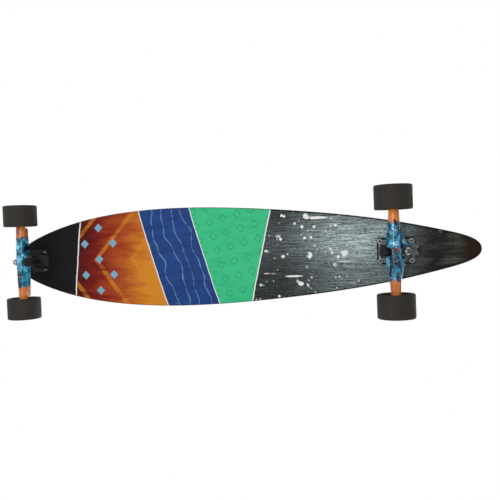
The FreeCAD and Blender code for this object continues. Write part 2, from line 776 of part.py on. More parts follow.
def make_pivot_cup(end):
    """The urethane pivot cup: a plain sleeve with a closed bottom, pressed in the baseplate's tower."""
    label = end + "_pivot_cup"
    body = new_body(label)
    profile = new_sketch(body, "profile", "XY_Plane")
    outer = "size.cup_diameter / 2"
    inner = "size.pivot_diameter / 2 + size.pivot_clearance"
    floor = "size.pivot_tip + size.pivot_clearance"
    draw_outline(profile, [("size.pivot_mouth", inner), ("size.pivot_mouth", outer),
                           ("size.cup_end", outer), ("size.cup_end", "0"), (floor, "0"), (floor, inner)])
    turn(body, profile, "H_Axis")
    finish(body, label, yoke_place(end))


# The hangers.

def is_arm_edge(edge):
    """Whether an edge of the arms' plate runs along its outline on either face, on the yoke's side."""
    box = edge.BoundBox
    on_face = box.ZLength < SAME_LENGTH
    return on_face and edge.CenterOfMass.x < value("size.yoke_to_axle") and box.XLength > SAME_LENGTH


def draw_spindle(sketch):
    """Half the spindle's section: its two ends, the axle's line, and an arc that bulges in the middle."""
    half = "size.hanger_length / 2"
    thin = "size.hanger_end_diameter / 2"
    low = Vector(value(thin), -value(half), 0)
    high = Vector(value(thin), value(half), 0)
    bulge = Vector(value("size.hanger_middle_diameter / 2"), 0, 0)
    sketch.addGeometry(Part.Arc(low, bulge, high), False)
    foot = Vector(0, low.y, 0)
    head = Vector(0, high.y, 0)
    for start, end in ((high, head), (head, foot), (foot, low)):
        sketch.addGeometry(Part.LineSegment(start, end), False)
    for first, second in ((0, 1), (1, 2), (2, 3)):
        sketch.addConstraint(Sketcher.Constraint("Coincident", first, 2, second, 1))
    sketch.addConstraint(Sketcher.Constraint("Coincident", 3, 2, 0, 1))
    pin_point(sketch, 0, 1, thin, "-" + half)
    pin_point(sketch, 0, 2, thin, half)
    pin_point(sketch, 2, 1, "0", half)
    pin_point(sketch, 2, 2, "0", "-" + half)
    bend = sketch.addConstraint(Sketcher.Constraint("Radius", 0, value("size.spindle_radius")))
    sketch.setExpression("Constraints[%d]" % bend, "size.spindle_radius")


def make_hanger(end):
    """The hanger: a spindle round the axle, thickest in the middle, a web of two arms that run from it to
    the yoke, the yoke's two bushing seats, and the round pivot on the far side from the yoke."""
    name = end + "_hanger"
    spindle = new_body(name + "_spindle")
    section = new_sketch(spindle, "section", "XY_Plane", ("size.yoke_to_axle", "0", "size.hanger_rake"))
    draw_spindle(section)
    turn(spindle, section, "V_Axis")

    arms = new_body(name + "_arms")
    plan = new_sketch(arms, "plan", "XY_Plane")
    span = "size.arm_span / 2"
    side = "size.yoke_diameter / 2"
    neck = "size.arm_neck / 2"
    tip = "size.yoke_to_axle - size.arm_tip"
    heel = tip + " + size.arm_end_width"
    shoulder = "size.yoke_to_axle + size.pivot_shoulder"
    draw_outline(plan, [("-size.arm_reach", "-" + neck), (tip, "-" + span), (heel, "-" + span),
                        (shoulder, "-" + side), (shoulder, side), (heel, span), (tip, span),
                        ("-size.arm_reach", neck)])
    pad(arms, plan, "size.arm_thickness", midplane=True)
    round_edges(arms, is_arm_edge, "size.arm_round")

    yoke = new_body(name + "_yoke")
    rim = new_sketch(yoke, "rim", "XY_Plane")
    draw_circle(rim, "0", "0", "size.yoke_diameter")
    pad(yoke, rim, "size.yoke_height", midplane=True)
    rim_radius = value("size.yoke_diameter / 2")
    round_edges(yoke, lambda edge: is_circle(edge, rim_radius), "size.yoke_round")

    casting = fuse(name + "_casting", [spindle, arms, yoke])
    overrun = "size.cut_overrun"
    seat = "size.bushing_diameter / 2 + size.seat_clearance"
    depth = "size.hanger_rake + size.hanger_middle_diameter"
    room = "size.bushing_diameter / 2 + size.washer_rim + size.stack_room"
    hole = "size.yoke_hole_diameter / 2"
    tools = []
    for label, base, radius, height in (
            ("_road_seat", "size.yoke_web / 2", seat, depth),
            ("_board_seat", "-size.yoke_web / 2 - (%s)" % depth, seat, depth),
            ("_road_room", "size.yoke_height / 2", room, depth),
            ("_hole", "-size.yoke_height / 2", hole, "size.yoke_height")):
        tools.append(primitive("Cylinder", name + label, ("0", "0", base), Radius=radius, Height=height))
    recess = primitive("Cylinder", name + "_pivot_recess", (shoulder, "0", "0"),
                       Radius="size.tower_diameter / 2 + size.pivot_recess_margin",
                       Height="size.hanger_middle_diameter")
    recess.Placement.Rotation = Rotation(Vector(0, 1, 0), 90)
    hollowed = cut(name + "_hollowed", casting, fuse(name + "_tools", tools + [recess]))

    pivot = new_body(name + "_pivot")
    profile = new_sketch(pivot, "profile", "XY_Plane", ("size.yoke_to_axle", "0", "0"))
    nose = "size.pivot_shoulder + size.pivot_length"
    pivot_radius = "size.pivot_diameter / 2"
    draw_outline(profile, [("0", "0"), (nose, "0"), (nose, pivot_radius + " - size.pivot_chamfer"),
                           (nose + " - size.pivot_chamfer", pivot_radius), ("0", pivot_radius)])
    turn(pivot, profile, "H_Axis")

    bore = primitive("Cylinder", name + "_axle_bore",
                     ("size.yoke_to_axle", "size.hanger_length / 2 + " + overrun, "size.hanger_rake"),
                     Radius="size.axle_bore / 2", Height="size.hanger_length + 2 * " + overrun)
    bore.Placement.Rotation = Rotation(Vector(1, 0, 0), 90)
    finish(cut(name, fuse(name + "_whole", [hollowed, pivot]), bore), name, yoke_place(end))


def make_axle(end):
    """The steel axle through the hanger, with its end nuts and the speed washers beside the bearings."""
    rod = primitive("Cylinder", end + "_axle", Radius="size.axle_diameter / 2", Height="size.axle_length")
    centre = axle_place(end)
    finish(rod, end + "_axle", centre * Placement(Vector(0, 0, -value("size.axle_length / 2")), Rotation()))

    bore = "size.axle_bore"
    inside = "size.hanger_length / 2"
    outside = inside + " + size.speed_washer_thickness + size.bearing_stack"
    washers = []
    nuts = []
    for side in ("left", "right"):
        for place, base in (("inside", inside), ("outside", outside)):
            washer = ring("%s_%s_%s_washer" % (end, side, place), "size.speed_washer_diameter", bore,
                          "size.speed_washer_thickness", base)
            washers.append(washer)
        nut = hex_nut("%s_%s_axle_nut" % (end, side), "size.axle_nut_flats", bore, "size.axle_nut_height",
                      outside + " + size.speed_washer_thickness")
        nuts.append(nut)
        if side == "right":
            for piece in washers[-2:] + [nut]:
                piece.Placement = Placement(Vector(0, 0, 0), Rotation(Vector(1, 0, 0), 180))
    finish(group(end + "_speed_washers", washers), end + "_speed_washers", centre)
    finish(group(end + "_axle_nuts", nuts), end + "_axle_nuts", centre)


# The wheels, each about its own axle line with Z outwards.

def make_tire(end, side, placement):
    """The urethane tire: a flat tread with rounded edges, and a dished side down to the hub."""
    label = "%s_%s_tire" % (end, side)
    body = new_body(label)
    profile = new_sketch(body, "profile", "XZ_Plane")
    tread = "size.wheel_diameter / 2"
    inner = "size.hub_diameter / 2"
    half = "size.wheel_width / 2"
    seat = "size.hub_width / 2"
    lip = tread + " - size.tire_lip"
    draw_outline(profile, [(inner, "-" + seat), (lip, "-" + half), (tread, "-" + half),
                           (tread, half), (lip, half), (inner, seat)])
    turn(body, profile, "V_Axis")
    rim = value(tread)
    round_edges(body, lambda edge: is_circle(edge, rim), "size.tire_edge_round")
    finish(body, label, placement)


def is_circle(edge, radius):
    """Whether an edge is a full circle of a radius."""
    full = isinstance(edge.Curve, Part.Circle) and edge.isClosed()
    return full and abs(edge.Curve.Radius - radius) < SAME_LENGTH


def make_hub(end, side, placement):
    """The moulded hub: a sleeve with a bearing seat at each side of a middle shoulder."""
    label = "%s_%s_hub" % (end, side)
    body = new_body(label)
    profile = new_sketch(body, "profile", "XZ_Plane")
    outer = "size.hub_diameter / 2"
    seat = "size.bearing_diameter / 2 + size.axle_clearance"
    shoulder = "size.hub_shoulder_diameter / 2"
    half = "size.hub_width / 2"
    step = "size.bearing_gap / 2"
    draw_outline(profile, [(seat, "-" + half), (outer, "-" + half), (outer, half), (seat, half),
                           (seat, step), (shoulder, step), (shoulder, "-" + step), (seat, "-" + step)])
    turn(body, profile, "V_Axis")
    finish(body, label, placement)


def make_bearings(end, side, placement):
    """The two shielded ball bearings of a wheel, as outer races with their shields and inner races, and the
    spacer that holds the inner races apart."""
    name = "%s_%s" % (end, side)
    near = "size.bearing_gap / 2"
    outer_races = []
    inner_races = []
    for place, base in (("outside", near), ("inside", "-%s - size.bearing_width" % near)):
        race = ring("%s_%s_race" % (name, place), "size.bearing_diameter", "size.outer_race_bore",
                    "size.bearing_width", base)
        shields = []
        for level, lift in (("low", "size.shield_inset"), ("high", "size.shield_top")):
            shield = ring("%s_%s_%s_shield" % (name, place, level),
                          "size.outer_race_bore + size.shield_inset",
                          "size.inner_race_diameter + 2 * size.race_gap", "size.shield_thickness",
                          "%s + %s" % (base, lift))
            shields.append(shield)
        outer_races.append(fuse("%s_%s_outer_race" % (name, place), [race] + shields))
        inner = ring("%s_%s_inner_race" % (name, place), "size.inner_race_diameter",
                     "size.axle_bore", "size.bearing_width", base)
        inner_races.append(inner)
    finish(group(name + "_outer_races", outer_races), name + "_outer_races", placement)
    finish(group(name + "_inner_races", inner_races), name + "_inner_races", placement)
    spacer = ring(name + "_spacer", "size.spacer_diameter",
                  "size.axle_bore", "size.bearing_gap", "-" + near)
    finish(spacer, name + "_spacer", placement)


def make_truck(end):
    """Every piece of one truck and its two wheels."""
    make_riser_pad(end)
    make_baseplate(end)
    make_mounting_bolts(end)
    make_kingpin(end)
    for side in ("boardside", "roadside"):
        make_bushing(end, side)
        make_cup_washer(end, side)
    make_pivot_cup(end)
    make_hanger(end)
    make_axle(end)
    for side, sign in (("left", 1), ("right", -1)):
        placement = axle_place(end, sign)
        make_tire(end, side, placement)
        make_hub(end, side, placement)
        make_bearings(end, side, placement)


def check_and_write():
    """Stop on any failed object or bad shape, then write each piece to its own file."""
    doc.recompute()
    failed = [item.Name for item in doc.Objects if "Invalid" in item.State or "Error" in item.State]
    bad = [piece.Label for piece in subparts if piece.Shape.isNull() or not piece.Shape.isValid()]
    if failed or bad:
        raise RuntimeError("failed objects %s, bad shapes %s" % (failed, bad))
    os.makedirs("parts", exist_ok=True)
    for piece in subparts:
        piece.Shape.exportStep(os.path.join("parts", piece.Label + ".step"))
        print(piece.Label, "solids", len(piece.Shape.Solids), "volume", round(piece.Shape.Volume, 1))


make_deck()
make_grip_tape()
for board_end in ("front", "rear"):
    make_truck(board_end)
check_and_write()
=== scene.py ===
import json
import math

import bmesh
import bpy
import numpy as np
from bpy.props import FloatProperty, FloatVectorProperty, PointerProperty
from mathutils import Matrix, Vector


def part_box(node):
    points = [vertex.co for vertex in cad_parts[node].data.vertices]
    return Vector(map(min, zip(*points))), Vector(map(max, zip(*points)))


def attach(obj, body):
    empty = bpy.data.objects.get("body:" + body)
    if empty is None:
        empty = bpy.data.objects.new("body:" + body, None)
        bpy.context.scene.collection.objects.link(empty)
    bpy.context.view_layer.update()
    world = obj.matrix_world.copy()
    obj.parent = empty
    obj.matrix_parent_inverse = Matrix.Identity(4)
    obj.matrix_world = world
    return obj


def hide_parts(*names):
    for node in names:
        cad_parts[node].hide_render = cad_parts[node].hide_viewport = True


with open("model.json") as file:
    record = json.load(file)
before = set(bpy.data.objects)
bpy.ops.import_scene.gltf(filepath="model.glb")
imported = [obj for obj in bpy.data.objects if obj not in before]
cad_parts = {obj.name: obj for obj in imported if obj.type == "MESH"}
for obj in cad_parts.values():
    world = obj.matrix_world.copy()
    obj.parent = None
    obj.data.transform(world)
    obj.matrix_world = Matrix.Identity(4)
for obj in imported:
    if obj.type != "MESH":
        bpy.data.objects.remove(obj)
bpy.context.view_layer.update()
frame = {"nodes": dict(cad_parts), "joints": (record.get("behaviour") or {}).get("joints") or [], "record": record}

bl_info = {
    "name": "Pintail Longboard",
    "version": (1, 0, 0),
    "blender": (4, 5, 0),
    "location": "3D View > Sidebar > Longboard",
    "description": "Dresses the packed longboard with its painted deck, grip, trucks, wheels and hardware",
    "category": "Object",
}

# Lengths are metres in the board's own frame: X to the nose, Y to the left, Z up from the ground.

ENDS = ("front", "rear")
SIDES = (("left", 1), ("right", -1))
BODY_OF = {node: body for body, nodes in frame["record"]["behaviour"]["bodies"].items() for node in nodes}
JOINTS = {joint["name"]: joint for joint in frame["joints"]}
MM = 0.001
MERGE_DISTANCE = 1e-6
FULL_TURN = 2 * math.pi
ROUND_COLUMNS = 72
SHARP_ANGLE = math.radians(32)

# The deck's plan: the poles of a cubic curve from nose to tail, as shares of its length and half width.
OUTLINE_POLE_SHARES = np.array([
    (0.0, 0.0), (0.0, 0.25), (0.06, 0.56), (0.19, 0.92), (0.38, 1.05),
    (0.6, 0.9), (0.8, 0.66), (0.94, 0.35), (1.0, 0.18), (1.0, 0.0),
])
OUTLINE_DEGREE = 3
OUTLINE_SAMPLES = 4000

# How many rows the deck's and the tape's meshes have in each part of their section.
UNDERSIDE_ROWS = 22
EDGE_ROWS = 7
SIDE_ROWS = 5
TAPE_ROWS = 28

# Shares that small turned pieces have in common, and the rows that a thread's mesh has in each pitch.
LARGEST_ROUNDING = 0.48
NUT_FACE = 0.97
NUT_COLLAR_HEIGHT = 0.32
THREAD_DEPTH = 0.55
THREAD_ROWS_PER_PITCH = 6

# Where the pin lines between the deck's bands cross its middle line, and how soft a painted edge is.
NOSE_LINE = 0.372
WARM_LINE = 0.178
COOL_LINE = 0.052
TAIL_LINE = -0.082
PAINT_EDGE = 0.0008


def length(name, description, millimetres):
    """A length that a user may change, given here in millimetres."""
    return FloatProperty(name=name, description=description, default=millimetres * MM, unit="LENGTH",
                         precision=5)


def colour(name, description, *linear):
    """A colour that a user may change, in linear light."""
    return FloatVectorProperty(name=name, description=description, default=linear, subtype="COLOR", size=3,
                               min=0, max=1)


class DeckSettings(bpy.types.PropertyGroup):
    width: length("Width", "Width that the plan's poles are shares of", 224)
    edge_round: length("Edge round", "Radius of the deck's upper and lower edges", 4)
    flat_width: length("Flat width", "Width of the flat middle between the rails", 100)
    rail_lift: length("Rail lift", "How far the rails rise at the widest place", 4.5)
    tape: length("Grip tape", "Thickness of the grip tape", 0.8)
    tape_hole: length("Tape hole", "Diameter of the tape's holes round the bolts", 10.2)
    tip_reach: length("Tip reach", "How far the middle line stops short of the nose and the tail", 70)
    column_step: length("Column step", "Spacing of the mesh along the outline", 3.5)
    black: colour("Black", "Stained black of the nose and the tail half", 0.0052, 0.005, 0.0058)
    grey: colour("Grey", "Grain in the black", 0.022, 0.022, 0.024)
    # Worn is partly a painted sheen: this pale blue-grey stands for a lamp's reflection on the black half ahead of
    # the rear truck, as well as for wear along the grain.
    worn: colour("Worn", "Pale wear along the grain of the black half", 0.535, 0.68, 0.695)
    olive: colour("Olive", "Dusty grain near the tail", 0.085, 0.082, 0.066)
    maroon: colour("Maroon", "Darkest colour of the warm band", 0.075, 0.006, 0.005)
    red: colour("Red", "Main colour of the warm band", 0.23, 0.014, 0.008)
    orange: colour("Orange", "Middle colour of the warm band", 0.46, 0.085, 0.016)
    amber: colour("Amber", "Lightest colour of the warm band", 0.72, 0.26, 0.022)
    blue: colour("Blue", "Main colour of the cool band", 0.016, 0.045, 0.19)
    light_blue: colour("Light blue", "Brushed light places of the cool band", 0.02, 0.07, 0.27)
    pale_blue: colour("Pale blue", "Diamonds on the warm band and lines on the cool one", 0.22, 0.45, 0.62)
    green: colour("Green", "Main colour of the last band", 0.055, 0.6, 0.27)
    dark_green: colour("Dark green", "Brushed dark places of the last band", 0.02, 0.38, 0.18)
    green_line: colour("Green line", "Small squares on the last band", 0.012, 0.16, 0.1)
    white: colour("White", "Pin lines and flecks", 0.95, 0.95, 0.94)
    wood: colour("Wood", "Bare maple at worn edges", 0.42, 0.25, 0.12)
    ply_grain: colour("Ply grain", "Dark grain of the cut plies", 0.24, 0.13, 0.06)
    veneer_grain: colour("Veneer grain", "Dark grain of the top veneer", 0.16, 0.085, 0.04)
    brown: colour("Brown", "Stained wood of the worn tail tip and the plies", 0.013, 0.0035, 0.0004)
    light_brown: colour("Light brown", "Grain of the worn tail tip", 0.026, 0.007, 0.001)
    grit: colour("Grit", "Grains of the grip tape", 0.012, 0.012, 0.013)
    glint: colour("Glint", "Bright grains of the grip tape", 0.05, 0.05, 0.051)
    foot_dust: colour("Foot dust", "Pale dust where the feet stand", 0.13, 0.125, 0.118)


class TruckSettings(bpy.types.PropertyGroup):
    bolt_spacing_long: length("Bolt spacing along", "Bolt pattern along the board", 63.5)
    bolt_spacing_wide: length("Bolt spacing across", "Bolt pattern across the board", 41.3)
    bolt_diameter: length("Bolt diameter", "Mounting bolts' shank", 4.8)
    bolt_head_diameter: length("Bolt head", "Countersunk head of the mounting bolts", 9.6)
    bolt_head_height: length("Bolt head height", "Depth of the countersunk head", 2.6)
    bolt_socket_flats: length("Bolt socket", "Hexagonal socket across its flats", 3.2)
    bolt_socket_depth: length("Bolt socket depth", "Depth of the hexagonal socket", 1.7)
    bolt_thread: length("Bolt thread", "Threaded length of a mounting bolt", 14)
    lock_nut_flats: length("Lock nut", "Mounting nuts across their flats", 9.5)
    kingpin_diameter: length("Kingpin", "Kingpin's shank", 9.5)
    kingpin_flats: length("Kingpin nut", "Kingpin's head and nut across their flats", 14.3)
    kingpin_head_height: length("Kingpin head", "Height of the kingpin's head", 5.5)
    axle_diameter: length("Axle", "Axle's diameter", 8)
    axle_nut_flats: length("Axle nut", "Axle nuts across their flats", 13)
    axle_thread: length("Axle thread", "Threaded length at each end of the axle", 16)
    thread_pitch: length("Thread pitch", "Pitch of the fine threads", 1.06)
    soft_edge: length("Soft edge", "Rounding of turned steel edges", 0.35)
    bushing_edge: length("Bushing edge", "Rounding of the bushings' edges", 1.1)
    washer_wall: length("Washer wall", "Thickness of the cup washers' rim", 1.4)
    washer_floor: length("Washer floor", "Thickness of the cup washers' disc", 1.6)
    speed_washer: length("Speed washer", "Thickness of a speed washer", 1)
    teal: colour("Teal", "Main colour of the hangers' paint", 0.004, 0.19, 0.25)
    navy: colour("Navy", "Darkest colour of the hangers' paint", 0.003, 0.010, 0.045)
    ocean: colour("Ocean", "Middle blue of the hangers' paint", 0.008, 0.27, 0.52)
    sky: colour("Sky", "Light pools in the hangers' paint", 0.24, 0.72, 0.95)
    ember: colour("Ember", "Warm bands at the hangers' ends", 0.88, 0.25, 0.010)
    rust: colour("Rust", "Small warm touches in the paint", 0.28, 0.03, 0.015)
    fleck: colour("Fleck", "Pale flecks in the paint", 0.78, 0.88, 0.92)
    chip: colour("Chip", "Bare metal in the paint's chips", 0.2, 0.2, 0.2)
    casting: colour("Casting", "Black paint of the baseplates", 0.009, 0.0095, 0.011)
    # A pale grey laid on the rear baseplate's flange inside its dark border, paler towards the nose.
    casting_dust: colour("Casting dust", "Dust on the rear baseplate's flange", 0.38, 0.43, 0.44)
    casting_wear: colour("Casting wear", "Bare metal specks of the baseplates", 0.3, 0.3, 0.31)
    riser: colour("Riser", "Rubber of the riser pads", 0.018, 0.018, 0.019)
    riser_bloom: colour("Riser bloom", "Dusty bloom on the riser pads", 0.055, 0.053, 0.05)
    bushing: colour("Bushing", "Urethane of the bushings and the pivot cups", 0.022, 0.022, 0.024)
    bushing_mark: colour("Bushing mark", "Squeeze marks on the urethane", 0.06, 0.06, 0.064)
    plate: colour("Plating", "Zinc plate of the fasteners", 0.25, 0.27, 0.28)
    dull_plate: colour("Dull plating", "Dulled patches of the zinc plate", 0.13, 0.14, 0.145)
    plate_rust: colour("Plating rust", "Touches of rust on the zinc plate", 0.12, 0.055, 0.03)
    oxide: colour("Oxide", "Black finish of the kingpins, their washers and the front mounting nuts",
                  0.03, 0.03, 0.032)
    oxide_patch: colour("Oxide patch", "Lighter patches of the black finish", 0.05, 0.05, 0.052)
    oxide_glint: colour("Oxide glint", "Bare steel where the black finish is rubbed", 0.45, 0.45, 0.45)
    thread: colour("Thread", "Dull black of the screw threads", 0.008, 0.008, 0.009)
    thread_oil: colour("Thread oil", "Film of old oil on the threads", 0.024, 0.023, 0.022)
    nylon: colour("Nylon", "Rings in the lock nuts", 0.56, 0.60, 0.61)
    nylon_shade: colour("Nylon shade", "Darker places of the nylon", 0.38, 0.41, 0.42)


class WheelSettings(bpy.types.PropertyGroup):
    tread_round: length("Tread round", "Radius of the tread's edges", 4)
    lip: length("Lip", "Width of the flat side between the tread and the dish", 7.5)
    lip_round: length("Lip round", "Rounding at the inside of the lip", 2.6)
    core_diameter: length("Core", "Diameter of the moulded core", 42)
    core_width: length("Core width", "Width of the moulded core", 29)
    core_round: length("Core round", "Rounding of the edges inside the core", 0.5)
    seat_clearance: length("Seat clearance", "Room round a bearing in its seat", 0.05)
    shoulder_diameter: length("Shoulder", "Diameter inside the core's middle shoulder", 18.5)
    race_bore: length("Race bore", "Diameter inside the outer race", 19)
    shield_bore: length("Shield bore", "Diameter inside a bearing's shield", 12.16)
    shield_inset: length("Shield inset", "How far a shield lies inside the race's face", 0.5)
    shield_thickness: length("Shield", "Thickness of a bearing's shield", 0.5)
    bearing_width: length("Bearing width", "Width of one bearing", 7)
    urethane: colour("Urethane", "Charcoal of the tires", 0.026, 0.0225, 0.0195)
    dust: colour("Dust", "Road dust on the tread", 0.085, 0.078, 0.068)
    scuff: colour("Scuff", "Scuffed lines round the tread", 0.036, 0.033, 0.029)
    pit: colour("Pit", "Small pits in the urethane", 0.01, 0.0095, 0.009)
    core: colour("Core colour", "Moulded core", 0.022, 0.021, 0.021)
    core_flow: colour("Core flow", "Flow marks in the moulded core", 0.05, 0.048, 0.046)
    race: colour("Race", "Ground steel of the bearings", 0.58, 0.58, 0.58)
    race_shade: colour("Race shade", "Duller places of the ground steel", 0.46, 0.46, 0.46)
    shield: colour("Shield colour", "Rubber face of a bearing's shield", 0.02, 0.02, 0.022)
    shield_dust: colour("Shield dust", "Dust on a bearing's shield", 0.06, 0.058, 0.055)


class StageSettings(bpy.types.PropertyGroup):
    lens: FloatProperty(name="Lens", description="Focal length in millimetres on a 36 mm sensor",
                        default=44.91)
    camera_place: FloatVectorProperty(name="Camera", description="Where the camera stands", size=3,
                                      default=(-0.4270, 0.0450, -1.2293), subtype="TRANSLATION")
    tilt: FloatProperty(name="Tilt", description="Camera's turn from straight up towards the nose",
                        default=math.radians(15.591), subtype="ANGLE")
    side: FloatProperty(name="Side", description="Camera's turn towards the board's left",
                        default=math.radians(-1.421), subtype="ANGLE")
    roll: FloatProperty(name="Roll", description="Camera's turn about its own line of sight",
                        default=math.radians(2.179), subtype="ANGLE")
    ambient: FloatProperty(name="Ambient", description="Light from all round", default=0.42)
    under_power: FloatProperty(name="Under lamp", description="Soft lamp under the board", default=9,
                               subtype="POWER")
    flash_power: FloatProperty(name="Flash lamp", description="Small bright lamp beside the camera",
                               default=2.6, subtype="POWER")
    over_power: FloatProperty(name="Over lamp", description="Soft lamp over the board", default=26,
                              subtype="POWER")
    floor: colour("Floor", "Pale floor under the wheels", 0.84, 0.84, 0.83)
    floor_shade: colour("Floor shade", "Faint clouds in the floor", 0.8, 0.8, 0.79)


# Surfaces, each worked out as whole arrays.

class Shell:
    """A grid of points, with the finish of each band between its rows and a UV for each point if needed."""

    def __init__(self, points, finishes=None, uv=None):
        self.points = np.asarray(points, float)
        rows, columns = self.points.shape[:2]
        bands = np.zeros(rows - 1, int) if finishes is None else np.asarray(finishes, int)
        self.finishes = np.repeat(bands, columns - 1)
        self.uv = np.zeros((rows, columns, 2)) if uv is None else uv

    def quads(self, first):
        """Quads between neighbouring rows and columns, numbered from a first point."""
        rows, columns = self.points.shape[:2]
        index = first + np.arange(rows * columns).reshape(rows, columns)
        corners = (index[:-1, :-1], index[:-1, 1:], index[1:, 1:], index[1:, :-1])
        return np.stack(corners, axis=-1).reshape(-1, 4)


def surface(name, shells, materials):
    """One mesh object of several shells, with its seams and poles merged and its faces turned outwards."""
    counts = np.cumsum([0] + [shell.points.shape[0] * shell.points.shape[1] for shell in shells])
    points = np.concatenate([shell.points.reshape(-1, 3) for shell in shells])
    quads = np.concatenate([shell.quads(first) for shell, first in zip(shells, counts)])
    finishes = np.concatenate([shell.finishes for shell in shells])
    uv = np.concatenate([shell.uv.reshape(-1, 2) for shell in shells])
    mesh = bpy.data.meshes.new(name)
    mesh.from_pydata(points.tolist(), [], quads.tolist())
    mesh.polygons.foreach_set("material_index", finishes.astype(np.int32))
    layer = mesh.uv_layers.new(name="surface")
    layer.data.foreach_set("uv", uv[quads.ravel()].astype(np.float32).ravel())
    return finished(name, mesh, materials, turn_outwards=True)


def finished(name, mesh, materials, turn_outwards):
    """Merge a mesh's doubles, shade it smooth apart from its sharp edges, and link it as an object."""
    work = bmesh.new()
    work.from_mesh(mesh)
    bmesh.ops.remove_doubles(work, verts=work.verts[:], dist=MERGE_DISTANCE)
    bmesh.ops.dissolve_degenerate(work, edges=work.edges[:], dist=MERGE_DISTANCE)
    if turn_outwards:
        bmesh.ops.recalc_face_normals(work, faces=work.faces[:])
    work.to_mesh(mesh)
    work.free()
    mesh.shade_smooth()
    mesh.set_sharp_from_angle(angle=SHARP_ANGLE)
    for material in materials:
        mesh.materials.append(material)
    piece = bpy.data.objects.new(name, mesh)
    bpy.context.scene.collection.objects.link(piece)
    return piece


def casting_copy(name, node, material):
    """A CAD node's own surface as one merged mesh, so that its curves shade smoothly."""
    mesh = frame["nodes"][node].data.copy()
    mesh.materials.clear()
    return finished(name, mesh, [material], turn_outwards=False)


def stand_for(piece, *nodes):
    """Let a piece ride on the body of the nodes that it stands for, and hide those nodes."""
    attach(piece, BODY_OF[nodes[0]])
    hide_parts(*nodes)


def stand(origin, axis):
    """A turning frame: its origin and three unit rows, the last along the axis."""
    along = np.array(axis, float) / np.linalg.norm(axis)
    helper = np.array((0.0, 1.0, 0.0)) if abs(along[1]) < 0.9 else np.array((1.0, 0.0, 0.0))
    across = np.cross(helper, along)
    across /= np.linalg.norm(across)
    return np.array(origin, float), np.stack((across, np.cross(along, across), along))


def angles():
    """The angles round a turned piece, the last one closing on the first."""
    return np.linspace(0, FULL_TURN, ROUND_COLUMNS + 1)


def spun(rows, place, finishes=None):
    """A turned surface: each row is a radius and a height, single or for every angle, carried round the axis
    as origin + radius (cos a, sin a) + height along the axis."""
    angle = angles()
    radius = np.stack([np.broadcast_to(row[0], angle.shape) for row in rows])
    height = np.stack([np.broadcast_to(row[1], angle.shape) for row in rows])
    local = np.stack((radius * np.cos(angle), radius * np.sin(angle), height), axis=-1)
    origin, axes = place
    return Shell(local @ axes + origin, finishes)


def rounded(corners, steps=4):
    """A closed profile from (radius, height, rounding) corners: each corner becomes a quadratic curve between
    the two points that lie its rounding away along its sides."""
    table = np.array(corners, float)
    corner = table[:, :2]
    back = np.roll(corner, 1, axis=0) - corner
    ahead = np.roll(corner, -1, axis=0) - corner
    back_length = np.linalg.norm(back, axis=1, keepdims=True)
    ahead_length = np.linalg.norm(ahead, axis=1, keepdims=True)
    size = np.minimum(table[:, 2:], LARGEST_ROUNDING * np.minimum(back_length, ahead_length))
    start = corner + back / back_length * size
    end = corner + ahead / ahead_length * size
    share = np.linspace(0, 1, steps + 1)[:, None, None]
    curve = (1 - share) ** 2 * start + 2 * share * (1 - share) * corner + share ** 2 * end
    profile = curve.transpose(1, 0, 2).reshape(-1, 2)
    return np.concatenate((profile, profile[:1]))


def ring_rows(outer, inner, low, high, soft):
    """The closed profile of a plain ring: corners at two radii and two heights, with soft edges."""
    return rounded([(outer, low, soft), (outer, high, soft), (inner, high, soft), (inner, low, soft)])


def hexagon(flats):
    """The radius of a hexagon at each angle: half its flats over the cosine of the angle from a flat."""
    sixth = FULL_TURN / 6
    return flats / 2 / np.cos(angles() % sixth - sixth / 2)


def hex_rows(flats, low, high):
    """The outside of a hexagonal nut or head whose corners are cut by a 30 degree cone at both ends."""
    radius = hexagon(flats)
    cut = (radius - flats / 2) * math.tan(math.radians(30))
    face = flats / 2 * NUT_FACE
    return [(face, low), (radius, low + cut), (radius, high - cut), (face, high)]


def thread_rows(diameter, low, high, pitch):
    """A screw thread: the radius falls by a triangle wave that moves one pitch along in each turn and fades
    at both ends."""
    height = np.linspace(low, high, int((high - low) / pitch * THREAD_ROWS_PER_PITCH))
    phase = (height[:, None] / pitch - angles() / FULL_TURN) % 1
    fade = np.clip(np.minimum(height - low, high - height) / pitch, 0, 1)
    radius = diameter / 2 - THREAD_DEPTH * pitch * fade[:, None] * np.abs(2 * phase - 1)
    return list(zip(radius, height))


def turned(node, place):
    """A CAD node's points, as seen in a turning frame."""
    data = frame["nodes"][node].data.vertices
    points = np.empty(len(data) * 3)
    data.foreach_get("co", points)
    origin, axes = place
    return (points.reshape(-1, 3) - origin) @ axes.T


def reach(node, place):
    """How far a CAD node reaches along a turning frame's axis, lowest and highest, and out from it."""
    local = turned(node, place)
    return local[:, 2].min(), local[:, 2].max(), np.linalg.norm(local[:, :2], axis=1).max()


# Shader maths.

